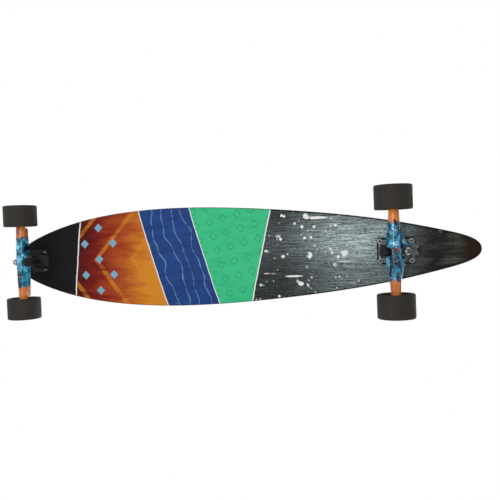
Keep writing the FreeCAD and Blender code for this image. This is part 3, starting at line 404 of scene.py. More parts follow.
class Wire:
    """A socket of a node tree, on which arithmetic adds Math nodes."""

    def __init__(self, tree, socket):
        self.tree = tree
        self.socket = socket

    def math(self, operation, *values):
        """One Math node on some values."""
        return self.tree.node("ShaderNodeMath", {"operation": operation}, dict(enumerate(values)))

    def __add__(self, other):
        return self.math("ADD", self, other)

    def __sub__(self, other):
        return self.math("SUBTRACT", self, other)

    def __mul__(self, other):
        return self.math("MULTIPLY", self, other)

    def __truediv__(self, other):
        return self.math("DIVIDE", self, other)

    def __rsub__(self, other):
        return self.math("SUBTRACT", other, self)

    def __rtruediv__(self, other):
        return self.math("DIVIDE", other, self)

    def __abs__(self):
        return self.math("ABSOLUTE", self)

    def __mod__(self, other):
        return self.math("FLOORED_MODULO", self, other)

    def __rmod__(self, other):
        return self.math("FLOORED_MODULO", other, self)

    __radd__ = __add__
    __rmul__ = __mul__

    def larger(self, other):
        """The larger of two values."""
        return self.math("MAXIMUM", self, other)

    def over(self, edge, soft):
        """0 below an edge and 1 above it, with a soft step between."""
        return self.between(edge - soft / 2, edge + soft / 2)

    def between(self, low, high, to_low=0.0, to_high=1.0):
        """A smooth step from one value to another between two limits."""
        inputs = {"Value": self, "From Min": low, "From Max": high, "To Min": to_low, "To Max": to_high}
        return self.tree.node("ShaderNodeMapRange", {"interpolation_type": "SMOOTHSTEP"}, inputs)

    def near(self, centre, half, soft):
        """1 within half a width of a centre and 0 outside it."""
        return 1 - abs(self - centre).over(half, soft)


class Tree:
    """A node tree that is written as expressions."""

    def __init__(self, owner):
        owner.use_nodes = True
        self.nodes = owner.node_tree.nodes
        self.links = owner.node_tree.links

    def node(self, kind, settings=None, inputs=None, output=0):
        """Any node: its type, its settings, then the values or links of its sockets."""
        made = self.nodes.new(kind)
        for name, setting in (settings or {}).items():
            if name == "stops":
                self.set_stops(made.color_ramp, setting)
            else:
                setattr(made, name, setting)
        for name, source in (inputs or {}).items():
            self.feed(made.inputs[name], source)
        return Wire(self, made.outputs[output])

    def set_stops(self, ramp, stops):
        """Give a ramp its stops, each a place and a colour."""
        while len(ramp.elements) < len(stops):
            ramp.elements.new(1.0)
        for element, (place, tone) in zip(ramp.elements, stops):
            element.position = place
            element.color = (*tone, 1.0)

    def feed(self, socket, source):
        """Link a wire to a socket, or set the socket's own value."""
        if isinstance(source, Wire):
            self.links.new(source.socket, socket)
        elif socket.type == "RGBA":
            socket.default_value = (*source[:3], 1.0)
        else:
            socket.default_value = source


class Paint(Tree):
    """A material, with the patterns that the board's finishes are made of."""

    def __init__(self, name, **constants):
        self.material = bpy.data.materials.new(name)
        super().__init__(self.material)
        self.shader = self.nodes["Principled BSDF"]
        for socket, number in constants.items():
            self.shader.inputs[socket.replace("_", " ").title().replace("Ior", "IOR")].default_value = number

    def split(self, vector):
        """The three values of a vector."""
        parts = self.node("ShaderNodeSeparateXYZ", inputs={0: vector}).socket.node.outputs
        return tuple(Wire(self, part) for part in parts)

    def spot(self):
        """A point of the board's own frame."""
        return self.node("ShaderNodeTexCoord", output="Object")

    def along_surface(self):
        """The piece's own UV as two values: along its outline and out from its rim's middle."""
        return self.split(self.node("ShaderNodeTexCoord", output="UV"))[:2]

    def vector(self, x=0.0, y=0.0, z=0.0):
        """A vector from three values."""
        return self.node("ShaderNodeCombineXYZ", inputs={0: x, 1: y, 2: z})

    def noise(self, vector, scale=1.0, detail=3.0, rough=0.55, warp=0.0):
        """Cloudy noise from 0 to 1."""
        inputs = {"Vector": vector, "Scale": scale, "Detail": detail, "Roughness": rough, "Distortion": warp}
        return self.node("ShaderNodeTexNoise", inputs=inputs)

    def cells(self, vector, scale, output="Distance"):
        """Scattered cells: the distance to the nearest point, or that cell's own colour."""
        return self.node("ShaderNodeTexVoronoi", inputs={"Vector": vector, "Scale": scale}, output=output)

    def mix(self, share, first, second):
        """One colour going over to another."""
        return self.node("ShaderNodeMix", {"data_type": "RGBA"}, {0: share, 6: first, 7: second}, 2)

    def ramp(self, share, stops):
        """A colour that runs through several stops."""
        return self.node("ShaderNodeValToRGB", {"stops": stops}, {0: share})

    def grey(self, tone):
        """A colour's brightness, for use as a value."""
        return self.node("ShaderNodeRGBToBW", inputs={0: tone})

    def bump(self, height, strength, distance):
        """Small relief that feeds the shader's normal."""
        inputs = {"Strength": strength, "Distance": distance, "Height": height}
        self.put("Normal", self.node("ShaderNodeBump", inputs=inputs))

    def put(self, socket, wire):
        """Feed one of the shader's sockets."""
        self.feed(self.shader.inputs[socket], wire)


def shared(maker):
    """A finish that several pieces use, made once."""
    return bpy.data.materials.get(maker.__name__) or maker()


def settings(name):
    """One of the scene's groups of settings."""
    return getattr(bpy.context.scene, "longboard_" + name)


def scattered(paint, vector, scale, rare, largest):
    """Scattered round spots of mixed sizes: a cell shows a spot only when its own random brightness is over
    a limit, and the more it is over, the larger the spot."""
    distance = paint.cells(vector, scale)
    luck = paint.grey(paint.cells(vector, scale, "Color"))
    return (luck.between(rare, 0.95, 0.0, largest) - distance).over(0.0, 0.06)


def grained(paint, along, across, long, fine, detail, rough=0.55, warp=0.0):
    """Noise drawn out along a grain: so many features to a metre along it and across it."""
    return paint.noise(paint.vector(along * long, across * fine), detail=detail, rough=rough, warp=warp)


def clouded(name, specular, scale, tones, roughness, detail=3, span=(0.3, 0.7), warp=0.0):
    """A finish of two tones in soft clouds, with a roughness that follows them. The point and the cloud come
    with it, for further work."""
    paint = Paint(name, specular_ior_level=specular)
    spot = paint.spot()
    cloud = paint.noise(spot, scale=scale, detail=detail, warp=warp)
    paint.put("Base Color", paint.mix(cloud.between(*span), *tones))
    paint.put("Roughness", cloud.between(0.3, 0.7, *roughness))
    return paint, spot, cloud


# The deck's finishes.

def worn_black(paint, x, y, lines, brush, cloud):
    """Black stain with grey grain, dusty on the tail, and pale along the grain ahead of the rear truck: partly
    wear, partly a painted sheen that stands for a lamp's reflection there. The painted sheen's mask comes with the
    colour."""
    deck = settings("deck")
    # Painted sheen: a pale patch in the colour, centred ahead of the rear truck and brightest across the board's
    # middle, stands for a lamp's reflection; the grain and the clouds break it up.
    middle_x, middle_y = -0.312, 0.025
    painted_sheen = abs(x - middle_x).between(0.02, 0.2, 1.0, 0.18) * abs(y - middle_y).between(0.0, 0.075, 1.0, 0.42)
    painted_sheen = painted_sheen * x.between(-0.445, -0.37) * x.between(0.1, -0.05)
    pale = painted_sheen * (lines * 0.9 + 0.2) * cloud.between(0.25, 0.7, 0.75, 1.0)
    dusty = x.between(-0.37, -0.44) * (lines + 0.12) * brush.between(0.42, 0.62)
    tone = paint.mix(lines * x.between(0.3, 0.0, 0.4, 0.5), deck.black, deck.grey)
    # The pale worn colour goes in by this mask: partly wear, partly painted sheen.
    tone = paint.mix(pale, tone, deck.worn)
    return paint.mix(dusty, tone, deck.olive), painted_sheen


def warm_band(paint, x, y, rim, slant, brush, grain):
    """Maroon that goes over to amber behind the nose line, with amber chevrons and rows of pale diamonds."""
    deck = settings("deck")
    warmth = (NOSE_LINE - slant) / 0.215 + (brush - 0.5) * 0.8
    stops = [(0.0, deck.maroon), (0.28, deck.red), (0.58, deck.orange), (0.88, deck.amber)]
    tone = paint.ramp(warmth, stops)
    tone = paint.mix((brush * 0.5 + grain * 0.5).over(0.62, 0.1) * 0.5, tone, deck.maroon)
    chevron_pitch = 0.092
    chevron = ((slant + abs(y) * 0.8) % chevron_pitch).near(chevron_pitch / 2, 0.0065, 0.0015)
    tone = paint.mix(chevron * brush.over(0.44, 0.2) * 0.6, tone, deck.amber)
    pitch = 0.074
    rise = abs((x + y + pitch / 4) % pitch - pitch / 2)
    fall = abs((x - y + pitch / 4) % pitch - pitch / 2)
    diamond = 1 - rise.larger(fall).over(0.0105, 0.0012)
    inside = x.over(0.259, 0.002) * (1 - rim.over(-0.013, 0.001))
    return paint.mix(diamond * inside, tone, deck.pale_blue)


def cool_band(paint, flat, slant, brush):
    """Blue, brushed lighter in places, with thin wavy lines across the board."""
    deck = settings("deck")
    tone = paint.mix(brush.between(0.3, 0.7), deck.blue, deck.light_blue)
    pitch = 0.028
    ripple = (slant + (paint.noise(flat, scale=13, detail=1) - 0.5) * 0.05) % pitch
    line = ripple.near(pitch / 2, 0.0010, PAINT_EDGE)
    return paint.mix(line * brush.over(0.44, 0.2) * 0.7, tone, deck.pale_blue)


def green_band(paint, x, y, brush):
    """Green, brushed darker in places, with rows of small leaning squares."""
    deck = settings("deck")
    tone = paint.mix(brush.between(0.35, 0.75) * 0.45, deck.green, deck.dark_green)
    pitch = 0.034
    lean = 0.25
    lattice = abs((y + x * lean) % pitch - pitch / 2) + abs((x - y * lean) % pitch - pitch / 2)
    return paint.mix(lattice.near(pitch / 4, 0.0012, PAINT_EDGE) * 0.5, tone, deck.green_line)


def splashes(paint, x, y, flat, cloud):
    """Dots and drops in patches, and strokes along the board between the patches."""
    ragged = (paint.noise(flat, scale=210, detail=2) - 0.5) * 0.004
    patch = (cloud * 0.4 + paint.noise(flat, scale=19, detail=1) * 0.6).over(0.49, 0.06)
    dots = scattered(paint, paint.vector(x * 0.8 + ragged, y + ragged), 48, 0.44, 0.46)
    drops = scattered(paint, paint.vector(x, y + ragged), 120, 0.45, 0.44)
    strokes = scattered(paint, paint.vector(x * 10 + 4, y * 105 + ragged * 60), 1.0, 0.3, 0.36)
    strokes = strokes * (1 - patch) * x.between(-0.31, -0.22)
    return (dots.larger(drops) * patch).larger(strokes) * x.between(-0.34, -0.24)


def underside_paint():
    """Stained and painted underside: a black nose, slanted bands of warm and cool colour with pin lines
    between them, then black that is pale along the grain ahead of the rear truck, partly wear and partly a painted
    sheen, with flecks and strokes, and a brown tail tip."""
    deck = settings("deck")
    paint = Paint("underside_paint", specular_ior_level=0.07, coat_roughness=0.34)
    x, y, _ = paint.split(paint.spot())
    along, rim = paint.along_surface()
    flat = paint.vector(x, y)
    grain = grained(paint, x, y, 9, 320, 6, 0.7)
    fibre = grained(paint, x, y, 28, 720, 5, 0.65)
    speck = grained(paint, x, y, 150, 420, 3, 0.7)
    brush = grained(paint, x, y, 12, 52, 6, 0.65, warp=0.6)
    cloud = paint.noise(flat, scale=9, detail=4)
    lines = (grain * 0.3 + fibre * 0.4 + speck * 0.3).between(0.43, 0.58)
    black, painted_sheen = worn_black(paint, x, y, lines, brush, cloud)

    wobble = (paint.noise(flat, scale=55, detail=2) - 0.5) * 0.003
    nose_slant = x + y * 0.11 + wobble
    warm_slant = x - y * 0.30 + wobble
    tail_slant = x + y * 0.24 + wobble
    nose = nose_slant.over(NOSE_LINE, PAINT_EDGE)
    ahead = tail_slant.over(TAIL_LINE, PAINT_EDGE)
    behind = 1 - tail_slant.over(TAIL_LINE - 0.006, 0.004)
    tone = paint.mix(nose, warm_band(paint, x, y, rim, nose_slant, brush, grain), black)
    tone = paint.mix(warm_slant.over(WARM_LINE, PAINT_EDGE), cool_band(paint, flat, warm_slant, brush), tone)
    tone = paint.mix(warm_slant.over(COOL_LINE, PAINT_EDGE), green_band(paint, x, y, brush), tone)
    tone = paint.mix(ahead, black, tone)

    chalk = splashes(paint, x, y, flat, cloud) * behind
    for slant, line, half in ((nose_slant, NOSE_LINE, 0.0016), (warm_slant, WARM_LINE, 0.0012),
                              (warm_slant, COOL_LINE, 0.0010), (tail_slant, TAIL_LINE, 0.0013)):
        chalk = chalk.larger(slant.near(line, half, 0.0006))
    tone = paint.mix(chalk, tone, deck.white)

    tip_start = 0.508
    bare = ((cloud - 0.5) * 0.05 + (grain - 0.5) * 0.03 - x).over(tip_start, 0.03)
    stain = paint.mix(grain.between(0.3, 0.7), deck.brown, deck.light_brown)
    tone = paint.mix(bare * 0.95, tone, stain)
    border = (rim - (1 - nose) * ahead * 0.003).over(-0.0074, 0.001)
    tone = paint.mix(border, tone, deck.black)
    nicks = rim.over(-0.0115, 0.003) * grained(paint, along, rim, 42, 150, 3, 0.6).over(0.66, 0.04)
    scrapes = grained(paint, x, y, 30, 62, 4, 0.7).over(0.715, 0.03) * behind
    chips = nicks.larger(scrapes)
    paint.put("Base Color", paint.mix(chips * 0.55, tone, deck.wood))
    paint.put("Roughness", grain.between(0.25, 0.8, 0.34, 0.56) + chips * 0.2)
    # The coat is real gloss, laid where the painted sheen is.
    paint.put("Coat Weight", lines * painted_sheen * behind * 0.8 + 0.02)
    paint.bump(grain * 0.6 + fibre * 0.5 + chalk * 0.6 - chips * 1.2, 0.3, 0.0005)
    return paint.material


def ply_edge():
    """Cut plies round the deck's edge: stained black, with the pale veneers showing through where it is
    rubbed."""
    deck = settings("deck")
    paint = Paint("ply_edge", specular_ior_level=0.2)
    along, rim = paint.along_surface()
    grain = grained(paint, along, rim, 60, 2500, 4)
    pair = 0.0030
    stained = ((rim + 0.5) % pair).near(pair / 2, 0.00055, 0.0002)
    maple = paint.mix(grain.between(0.3, 0.75), deck.wood, deck.ply_grain)
    plies = paint.mix(stained, maple, deck.brown)
    rubbed = grained(paint, along, rim, 22, 90, 4).over(0.64, 0.12)
    paint.put("Base Color", paint.mix(rubbed * 0.5, deck.black, plies))
    paint.put("Roughness", grain.between(0.2, 0.8, 0.5, 0.75))
    paint.bump(grain * 0.6 - stained * 0.3, 0.3, 0.0004)
    return paint.material


def top_veneer():
    """Clear-coated veneer that shows round the grip tape."""
    deck = settings("deck")
    paint = Paint("top_veneer", specular_ior_level=0.4)
    x, y, _ = paint.split(paint.spot())
    grain = grained(paint, x, y, 9, 260, 5, 0.6)
    paint.put("Base Color", paint.mix(grain.between(0.3, 0.75), deck.veneer_grain, deck.wood))
    paint.put("Roughness", grain.between(0.2, 0.8, 0.3, 0.5))
    paint.bump(grain, 0.2, 0.0003)
    return paint.material


def grip_grit():
    """Black grit on the grip tape, with pale worn places where the feet stand."""
    deck = settings("deck")
    paint = Paint("grip_grit", specular_ior_level=0.35)
    x, y, _ = paint.split(paint.spot())
    flat = paint.vector(x, y)
    grains_per_metre = 1400
    grit = paint.cells(flat, grains_per_metre)
    sparkle = paint.grey(paint.cells(flat, grains_per_metre, "Color"))
    cloud = paint.noise(paint.vector(x * 0.7, y), scale=11, detail=5, rough=0.65)
    stance_middle, stance_half = -0.02, 0.29
    stance = abs(abs(x - stance_middle) - stance_half).between(0.02, 0.16, 1.0, 0.0)
    dusty = cloud.between(0.42, 0.75) * (stance * 0.7 + 0.25)
    tone = paint.mix(sparkle.between(0.3, 0.95), deck.grit, deck.glint)
    paint.put("Base Color", paint.mix(dusty * 0.5, tone, deck.foot_dust))
    paint.put("Roughness", sparkle.between(0.2, 0.9, 0.95, 0.6))
    paint.bump(1 - grit, 0.9, 0.0005)
    return paint.material


# The trucks' finishes.

def marbled_paint():
    """Glossy marbled paint on the hangers: navy, teal and sky pools with pale flecks, small rust touches,
    and warm ends."""
    truck = settings("truck")
    paint = Paint("marbled_paint", specular_ior_level=0.15, coat_roughness=0.06)
    spot = paint.spot()
    x, y, z = paint.split(spot)
    swirl = paint.noise(paint.vector(x, y * 0.45, z), scale=38, detail=4, warp=1.4)
    pool = paint.noise(spot, scale=17, detail=3, warp=1.2)
    blend = swirl * 0.85 + paint.noise(spot, scale=150, detail=3) * 0.15
    stops = [(0.43, truck.navy), (0.47, truck.teal), (0.53, truck.ocean), (0.59, truck.sky)]
    tone = paint.ramp(blend, stops)
    tone = paint.mix(paint.noise(spot, scale=64, detail=3, warp=1.0).over(0.66, 0.06), tone, truck.rust)
    end = (abs(y) + (blend - 0.5) * 0.06).over(0.058, 0.004)
    warm = paint.mix(swirl.between(0.45, 0.7), truck.ember, truck.rust)
    tone = paint.mix(end * 0.95, tone, warm)
    flecks = scattered(paint, spot, 330, 0.5, 0.5) * pool.over(0.49, 0.1)
    tone = paint.mix(flecks * (0.95 - end * 0.6), tone, truck.fleck)
    chipped = paint.noise(spot, scale=130, detail=4).over(0.74, 0.03)
    paint.put("Base Color", paint.mix(chipped * 0.8, tone, truck.chip))
    paint.put("Roughness", swirl.between(0.3, 0.7, 0.16, 0.28) + chipped * 0.2)
    paint.put("Coat Weight", pool.between(0.3, 0.7, 0.15, 0.4) * (1 - chipped))
    cast = paint.noise(spot, scale=600, detail=2)
    paint.bump(cast * 0.35 - chipped, 0.15, 0.0004)
    return paint.material


def black_casting():
    """Satin black paint on a sand-cast face, with bare metal specks at wear, and a flange on the rear baseplate
    that is pale grey inside its dark border and paler towards the nose."""
    truck = settings("truck")
    paint = Paint("black_casting", specular_ior_level=0.13)
    spot = paint.spot()
    x, y, z = paint.split(spot)
    sand = paint.noise(spot, scale=900, detail=2)
    cloud = paint.noise(spot, scale=60, detail=5, rough=0.65)
    low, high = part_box("rear_baseplate")
    middle = (low.x + high.x) / 2
    border, soft, flange_level = 0.004, 0.001, 0.0868
    along = 1 - abs(x - middle).over((high.x - low.x) / 2 - border, soft)
    across = 1 - abs(y).over(high.y - border, soft)
    fading = x.between(middle - 0.04, middle + 0.04, 0.55, 1.0)
    flange = z.over(flange_level, soft) * along * across * fading
    # Mask of the pale grey: the rear flange, paler towards the nose, and faint clouds over all the castings.
    dust = cloud.between(0.35, 0.6, 0.55, 1.0) * flange + cloud.between(0.45, 0.75, 0.0, 0.05)
    worn = (cloud * 0.7 + sand * 0.3).over(0.67, 0.03)
    tone = paint.mix(dust * 0.9, truck.casting, truck.casting_dust)
    paint.put("Base Color", paint.mix(worn * 0.7, tone, truck.casting_wear))
    paint.put("Roughness", cloud.between(0.3, 0.7, 0.32, 0.5))
    paint.put("Metallic", worn * 0.8)
    paint.bump(sand * 0.5 + cloud * 0.5, 0.22, 0.0005)
    return paint.material


def riser_rubber():
    """Black rubber pads with a dusty bloom."""
    truck = settings("truck")
    tones = truck.riser, truck.riser_bloom
    paint, spot, _ = clouded("riser_rubber", 0.3, 70, tones, (0.6, 0.85), detail=4, span=(0.35, 0.75))
    paint.bump(paint.noise(spot, scale=1300, detail=1), 0.25, 0.0003)
    return paint.material


def bushing_urethane():
    """Smooth dark urethane with squeeze marks."""
    truck = settings("truck")
    tones = truck.bushing, truck.bushing_mark
    paint, _, cloud = clouded("bushing_urethane", 0.5, 110, tones, (0.32, 0.55))
    paint.bump(cloud, 0.15, 0.0004)
    return paint.material


def zinc_plate():
    """Zinc-plated steel, dulled in patches, with a touch of rust."""
    truck = settings("truck")
    paint = Paint("zinc_plate", specular_ior_level=0.5)
    spot = paint.spot()
    x, y, z = paint.split(spot)
    cloud = paint.noise(spot, scale=140, detail=4)
    line = paint.noise(paint.vector(x * 300, y * 1800, z * 300), detail=2)
    rust = paint.noise(spot, scale=210, detail=5, rough=0.7).over(0.66, 0.07)
    tone = paint.mix(cloud.between(0.3, 0.7), truck.plate, truck.dull_plate)
    paint.put("Base Color", paint.mix(rust * 0.55, tone, truck.plate_rust))
    paint.put("Metallic", 0.9 - rust * 0.7)
    paint.put("Roughness", cloud.between(0.3, 0.7, 0.28, 0.45) + rust * 0.25)
    paint.bump(line * 0.4 + cloud * 0.6, 0.08, 0.0003)
    return paint.material


def black_oxide():
    """Blackened steel with bare glints where tools and washers have rubbed it."""
    truck = settings("truck")
    paint = Paint("black_oxide", specular_ior_level=0.4)
    spot = paint.spot()
    cloud = paint.noise(spot, scale=170, detail=4)
    rubbed = paint.noise(spot, scale=260, detail=4).over(0.66, 0.06)
    tone = paint.mix(cloud.between(0.3, 0.7), truck.oxide, truck.oxide_patch)
    paint.put("Base Color", paint.mix(rubbed * 0.8, tone, truck.oxide_glint))
    paint.put("Metallic", rubbed * 0.2 + 0.75)
    paint.put("Roughness", cloud.between(0.3, 0.7, 0.16, 0.3))
    paint.bump(cloud, 0.1, 0.0003)
    return paint.material


def black_thread():
    """Dull black screw thread with a film of old oil."""
    truck = settings("truck")
    return clouded("black_thread", 0.15, 260, (truck.thread, truck.thread_oil), (0.4, 0.6))[0].material


def nylon_insert():
    """Milky nylon ring at a lock nut's far end."""
    truck = settings("truck")
    return clouded("nylon_insert", 0.45, 240, (truck.nylon, truck.nylon_shade), (0.4, 0.6))[0].material


# The wheels' finishes.

def polished_race():
    """Ground steel of the bearings' races, the speed washers and the kingpins' nuts."""
    wheel = settings("wheel")
    tones = wheel.race, wheel.race_shade
    paint, _, cloud = clouded("polished_race", 0.5, 190, tones, (0.16, 0.3))
    paint.put("Metallic", cloud.between(0.2, 0.8, 1.0, 0.94))
    return paint.material


def bearing_shield():
    """Dark rubber-faced shield of a bearing."""
    wheel = settings("wheel")
    return clouded("bearing_shield", 0.4, 160, (wheel.shield, wheel.shield_dust), (0.4, 0.6))[0].material


def tread_urethane():
    """Charcoal urethane: scuffed round the tread, with road dust and small pits."""
    wheel = settings("wheel")
    paint = Paint("tread_urethane", specular_ior_level=0.18)
    spot = paint.spot()
    x, y, z = paint.split(spot)
    cloud = paint.noise(spot, scale=34, detail=5, rough=0.65)
    fine = paint.noise(spot, scale=420, detail=3)
    ground = paint.noise(paint.vector(x * 40, y * 700, z * 40), detail=3)
    dust = (cloud * 0.7 + fine * 0.3).between(0.46, 0.72)
    tone = paint.mix(ground.between(0.35, 0.7) * 0.5, wheel.urethane, wheel.scuff)
    tone = paint.mix(dust * 0.3, tone, wheel.dust)
    pits = paint.cells(spot, 260).between(0.0, 0.12, 1.0, 0.0) * fine.over(0.52, 0.1)
    paint.put("Base Color", paint.mix(pits * 0.6, tone, wheel.pit))
    paint.put("Roughness", cloud.between(0.3, 0.7, 0.55, 0.8))
    paint.bump(fine * 0.5 + ground * 0.4 - pits * 0.8, 0.3, 0.0005)
    return paint.material


def core_plastic():
    """Moulded black core with faint flow marks."""
    wheel = settings("wheel")
    tones = wheel.core, wheel.core_flow
    paint, spot, _ = clouded("core_plastic", 0.45, 90, tones, (0.35, 0.55), detail=4, span=(0.35, 0.75),
                             warp=1.2)
    paint.bump(paint.noise(spot, scale=800, detail=2), 0.15, 0.0003)
    return paint.material


# The deck's shape.

def spline(poles, degree, count):
    """Points of a curve with the ends clamped and evenly spaced knots: its poles blended again and again,
    each time by how far the parameter lies between two knots."""
    spans = len(poles) - degree
    knots = np.concatenate((np.zeros(degree), np.arange(spans + 1), np.full(degree, spans)))
    at = np.linspace(0, spans, count)
    first = np.minimum(at.astype(int), spans - 1)
    blended = [poles[first + offset] for offset in range(degree + 1)]
    for level in range(1, degree + 1):
        for offset in range(degree, level - 1, -1):
            low = knots[first + offset]
            high = knots[first + offset + degree + 1 - level]
            share = ((at - low) / (high - low))[:, None]
            blended[offset] = (1 - share) * blended[offset - 1] + share * blended[offset]
    return blended[degree]


def deck_outline(long, wide, step):
    """The deck's plan as a closed line from the nose down the left edge and back up the right one, evenly
    spaced, with the inward direction and the length run so far at each point."""
    along, across = OUTLINE_POLE_SHARES.T
    poles = np.stack((long * (0.5 - along), wide / 2 * across), axis=-1)
    fine = spline(poles, OUTLINE_DEGREE, OUTLINE_SAMPLES)
    run = np.concatenate(([0], np.cumsum(np.linalg.norm(np.diff(fine, axis=0), axis=1))))
    even = np.linspace(0, run[-1], int(run[-1] / step) + 1)
    left = np.stack([np.interp(even, run, fine[:, axis]) for axis in (0, 1)], axis=-1)
    slope = np.stack([np.gradient(fine[:, axis], run) for axis in (0, 1)], axis=-1)
    ahead = np.stack([np.interp(even, run, slope[:, axis]) for axis in (0, 1)], axis=-1)
    ahead[[0, -1]] = ((0, 1), (0, -1))
    inward = np.stack((-ahead[:, 1], ahead[:, 0]), axis=-1)
    mirror = np.array((1, -1))
    line = np.concatenate((left, (left * mirror)[-2::-1]))
    inwards = np.concatenate((inward, (inward * mirror)[-2::-1]))
    inwards /= np.linalg.norm(inwards, axis=1, keepdims=True)
    return line, inwards, np.concatenate((even, (2 * run[-1] - even)[-2::-1]))


def deck_plan(inset, reach_share):
    """Plan of the deck for each row of a section: a share of the way from the middle line to the outline,
    which is drawn in by the row's inset. The length run along the outline comes with it."""
    deck = settings("deck")
    low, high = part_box("deck")
    long = high.x - low.x
    line, inward, run = deck_outline(long, deck.width, deck.column_step)
    spine_end = long / 2 - deck.tip_reach
    spine = np.stack((np.clip(line[:, 0], -spine_end, spine_end), np.zeros(len(line))), axis=-1)
    rim = line[None] + inward[None] * inset[:, None, None]
    return spine[None] + (rim - spine[None]) * reach_share[:, None, None], run


def pressed(plan, level):
    """Height of a layer of the pressed deck, given its level over the underside: flat in the middle, and over
    the rails an arc about the one centre that all the layers share."""
    deck = settings("deck")
    rail = np.maximum(np.abs(plan[..., 1]) - deck.flat_width / 2, 0)
    rail_run = (deck.width - deck.flat_width) / 2
    radius = (rail_run ** 2 + deck.rail_lift ** 2) / (2 * deck.rail_lift)
    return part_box("deck")[0].z + radius - np.sqrt((radius - level) ** 2 - rail ** 2)


def deck_shell():
    """The deck's surface on two parameters, one round its outline and one through its section. The section
    goes from the middle line out along the underside, round the lower edge, up the side, round the upper edge
    and back in over the top. A height share of 0 is the pressed underside and 1 the top."""
    deck = settings("deck")
    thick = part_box("grip_tape")[0].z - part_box("deck")[0].z
    round_share = deck.edge_round / thick

    flat_rows = np.linspace(0, 1, UNDERSIDE_ROWS)[:-1]
    arc = np.linspace(0, math.pi / 2, EDGE_ROWS)
    arc_inset = deck.edge_round * (1 - np.sin(arc))
    arc_share = round_share * (1 - np.cos(arc))
    side_share = np.linspace(round_share, 1 - round_share, SIDE_ROWS)[1:-1]
    reach_share = np.concatenate((flat_rows, np.ones(len(arc) * 2 + len(side_share)), flat_rows[::-1]))
    inset = np.concatenate((np.full(len(flat_rows), deck.edge_round), arc_inset, np.zeros(len(side_share)),
                            arc_inset[::-1], np.full(len(flat_rows), deck.edge_round)))
    height_share = np.concatenate((np.zeros(len(flat_rows)), arc_share, side_share, 1 - arc_share[::-1],
                                   np.ones(len(flat_rows))))

    plan, run = deck_plan(inset, reach_share)
    under = pressed(plan, 0)
    up = under + (pressed(plan, thick) - under) * height_share[:, None]
    points = np.concatenate((plan, up[..., None]), axis=-1)

    steps = np.linalg.norm(np.diff(points, axis=0), axis=-1)
    profile_run = np.concatenate((np.zeros((1, len(run))), np.cumsum(steps, axis=0)))
    middle = len(height_share) // 2
    uv = np.stack((np.broadcast_to(run, profile_run.shape), profile_run - profile_run[middle]), axis=-1)
    painted = len(flat_rows) + len(arc) // 2
    cut_edge = len(points) - 1 - painted - len(flat_rows)
    return Shell(points, [0] * painted + [1] * cut_edge + [2] * len(flat_rows), uv)


def grip_shell():
    """The grip tape on the same two parameters: out from the middle line along the deck's top to the tape's
    cut edge, which lies a margin inside the outline, and back in over the grit."""
    deck_low, deck_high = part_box("deck")
    tape_low, tape_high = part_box("grip_tape")
    out_share = np.linspace(0, 1, TAPE_ROWS)
    reach_share = np.concatenate((out_share, out_share[::-1]))
    plan, _ = deck_plan(np.full(len(reach_share), deck_high.x - tape_high.x), reach_share)
    lower = tape_low.z - deck_low.z
    level = np.repeat((lower, lower + settings("deck").tape), len(out_share))[:, None]
    return Shell(np.concatenate((plan, pressed(plan, level)[..., None]), axis=-1))


def bolt_places(end):
    """Where the four mounting bolts of one end stand in plan: the corners of the bolt pattern."""
    truck = settings("truck")
    low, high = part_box(end + "_riser_pad")
    centre = (low + high) / 2
    return [(centre.x + along * truck.bolt_spacing_long / 2, centre.y + across * truck.bolt_spacing_wide / 2)
            for across in (-1, 1) for along in (-1, 1)]


def drilled(piece, cutter):
    """Cut one object's shape out of a piece, and delete the cutter."""
    holes = piece.modifiers.new("holes", "BOOLEAN")
    holes.operation = "DIFFERENCE"
    holes.solver = "EXACT"
    holes.object = cutter
    bpy.context.view_layer.update()
    cut = bpy.data.meshes.new_from_object(piece.evaluated_get(bpy.context.evaluated_depsgraph_get()))
    piece.modifiers.clear()
    piece.data = cut
    cut.set_sharp_from_angle(angle=SHARP_ANGLE)
    bpy.data.objects.remove(cutter)
    return piece


class LONGBOARD_OT_deck(bpy.types.Operator):
    """Make the painted deck with its cut edge and the grip tape on its top"""
    bl_idname = "longboard.deck"
    bl_label = "Deck"

    def execute(self, context):
        materials = [shared(underside_paint), shared(ply_edge), shared(top_veneer)]
        stand_for(surface("painted_deck", [deck_shell()], materials), "deck")
        sheet = surface("grit_sheet", [grip_shell()], [shared(grip_grit)])
        radius = settings("deck").tape_hole / 2
        depth = 5 * settings("deck").tape
        rows = [(0, -depth), (radius, -depth), (radius, depth), (0, depth)]
        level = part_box("grip_tape")[0].z
        punches = [spun(rows, stand((x, y, level), (0, 0, 1))) for end in ENDS for x, y in bolt_places(end)]
        stand_for(drilled(sheet, surface("hole_punches", punches, [])), "grip_tape")
        return {"FINISHED"}


class LONGBOARD_OT_castings(bpy.types.Operator):
    """Dress the cast hangers and baseplates and the rubber between them and the deck"""
    bl_idname = "longboard.castings"
    bl_label = "Castings"

    def execute(self, context):
        finishes = (("hanger", marbled_paint), ("baseplate", black_casting), ("riser_pad", riser_rubber),
                    ("pivot_cup", bushing_urethane))
        for end in ENDS:
            for part, finish in finishes:
                node = "%s_%s" % (end, part)
                stand_for(casting_copy("dressed_" + node, node, shared(finish)), node)
        return {"FINISHED"}


# Turned pieces.

def lock_nut(flats, bore, low, high):
    """A lock nut's rows and finishes: a hexagon, then a round collar that holds a nylon ring."""
    rise = (high - low) * NUT_COLLAR_HEIGHT
    top, bend, seat = (high - rise * share for share in (1, 0.4, 0.25))
    collar, lip, ring = (flats / 2 * share for share in (0.93, 0.86, 0.80))
    rows = [(bore / 2, low)] + hex_rows(flats, low, top)
    rows += [(collar, top), (collar, bend), (lip, high), (ring, high), (ring, seat)]
    rows += [(bore / 2, seat), (bore / 2, low)]
    finishes = [0] * (len(rows) - 1)
    finishes[-2] = 1
    return rows, finishes


def steering_place(end):
    """The kingpin's frame: at the steering joint, square to its axis, pointing out to the road."""
    joint = JOINTS[end + "_steer"]
    x, _, z = joint["axis"]
    return stand(joint["pos_m"], (x, 0, -z))


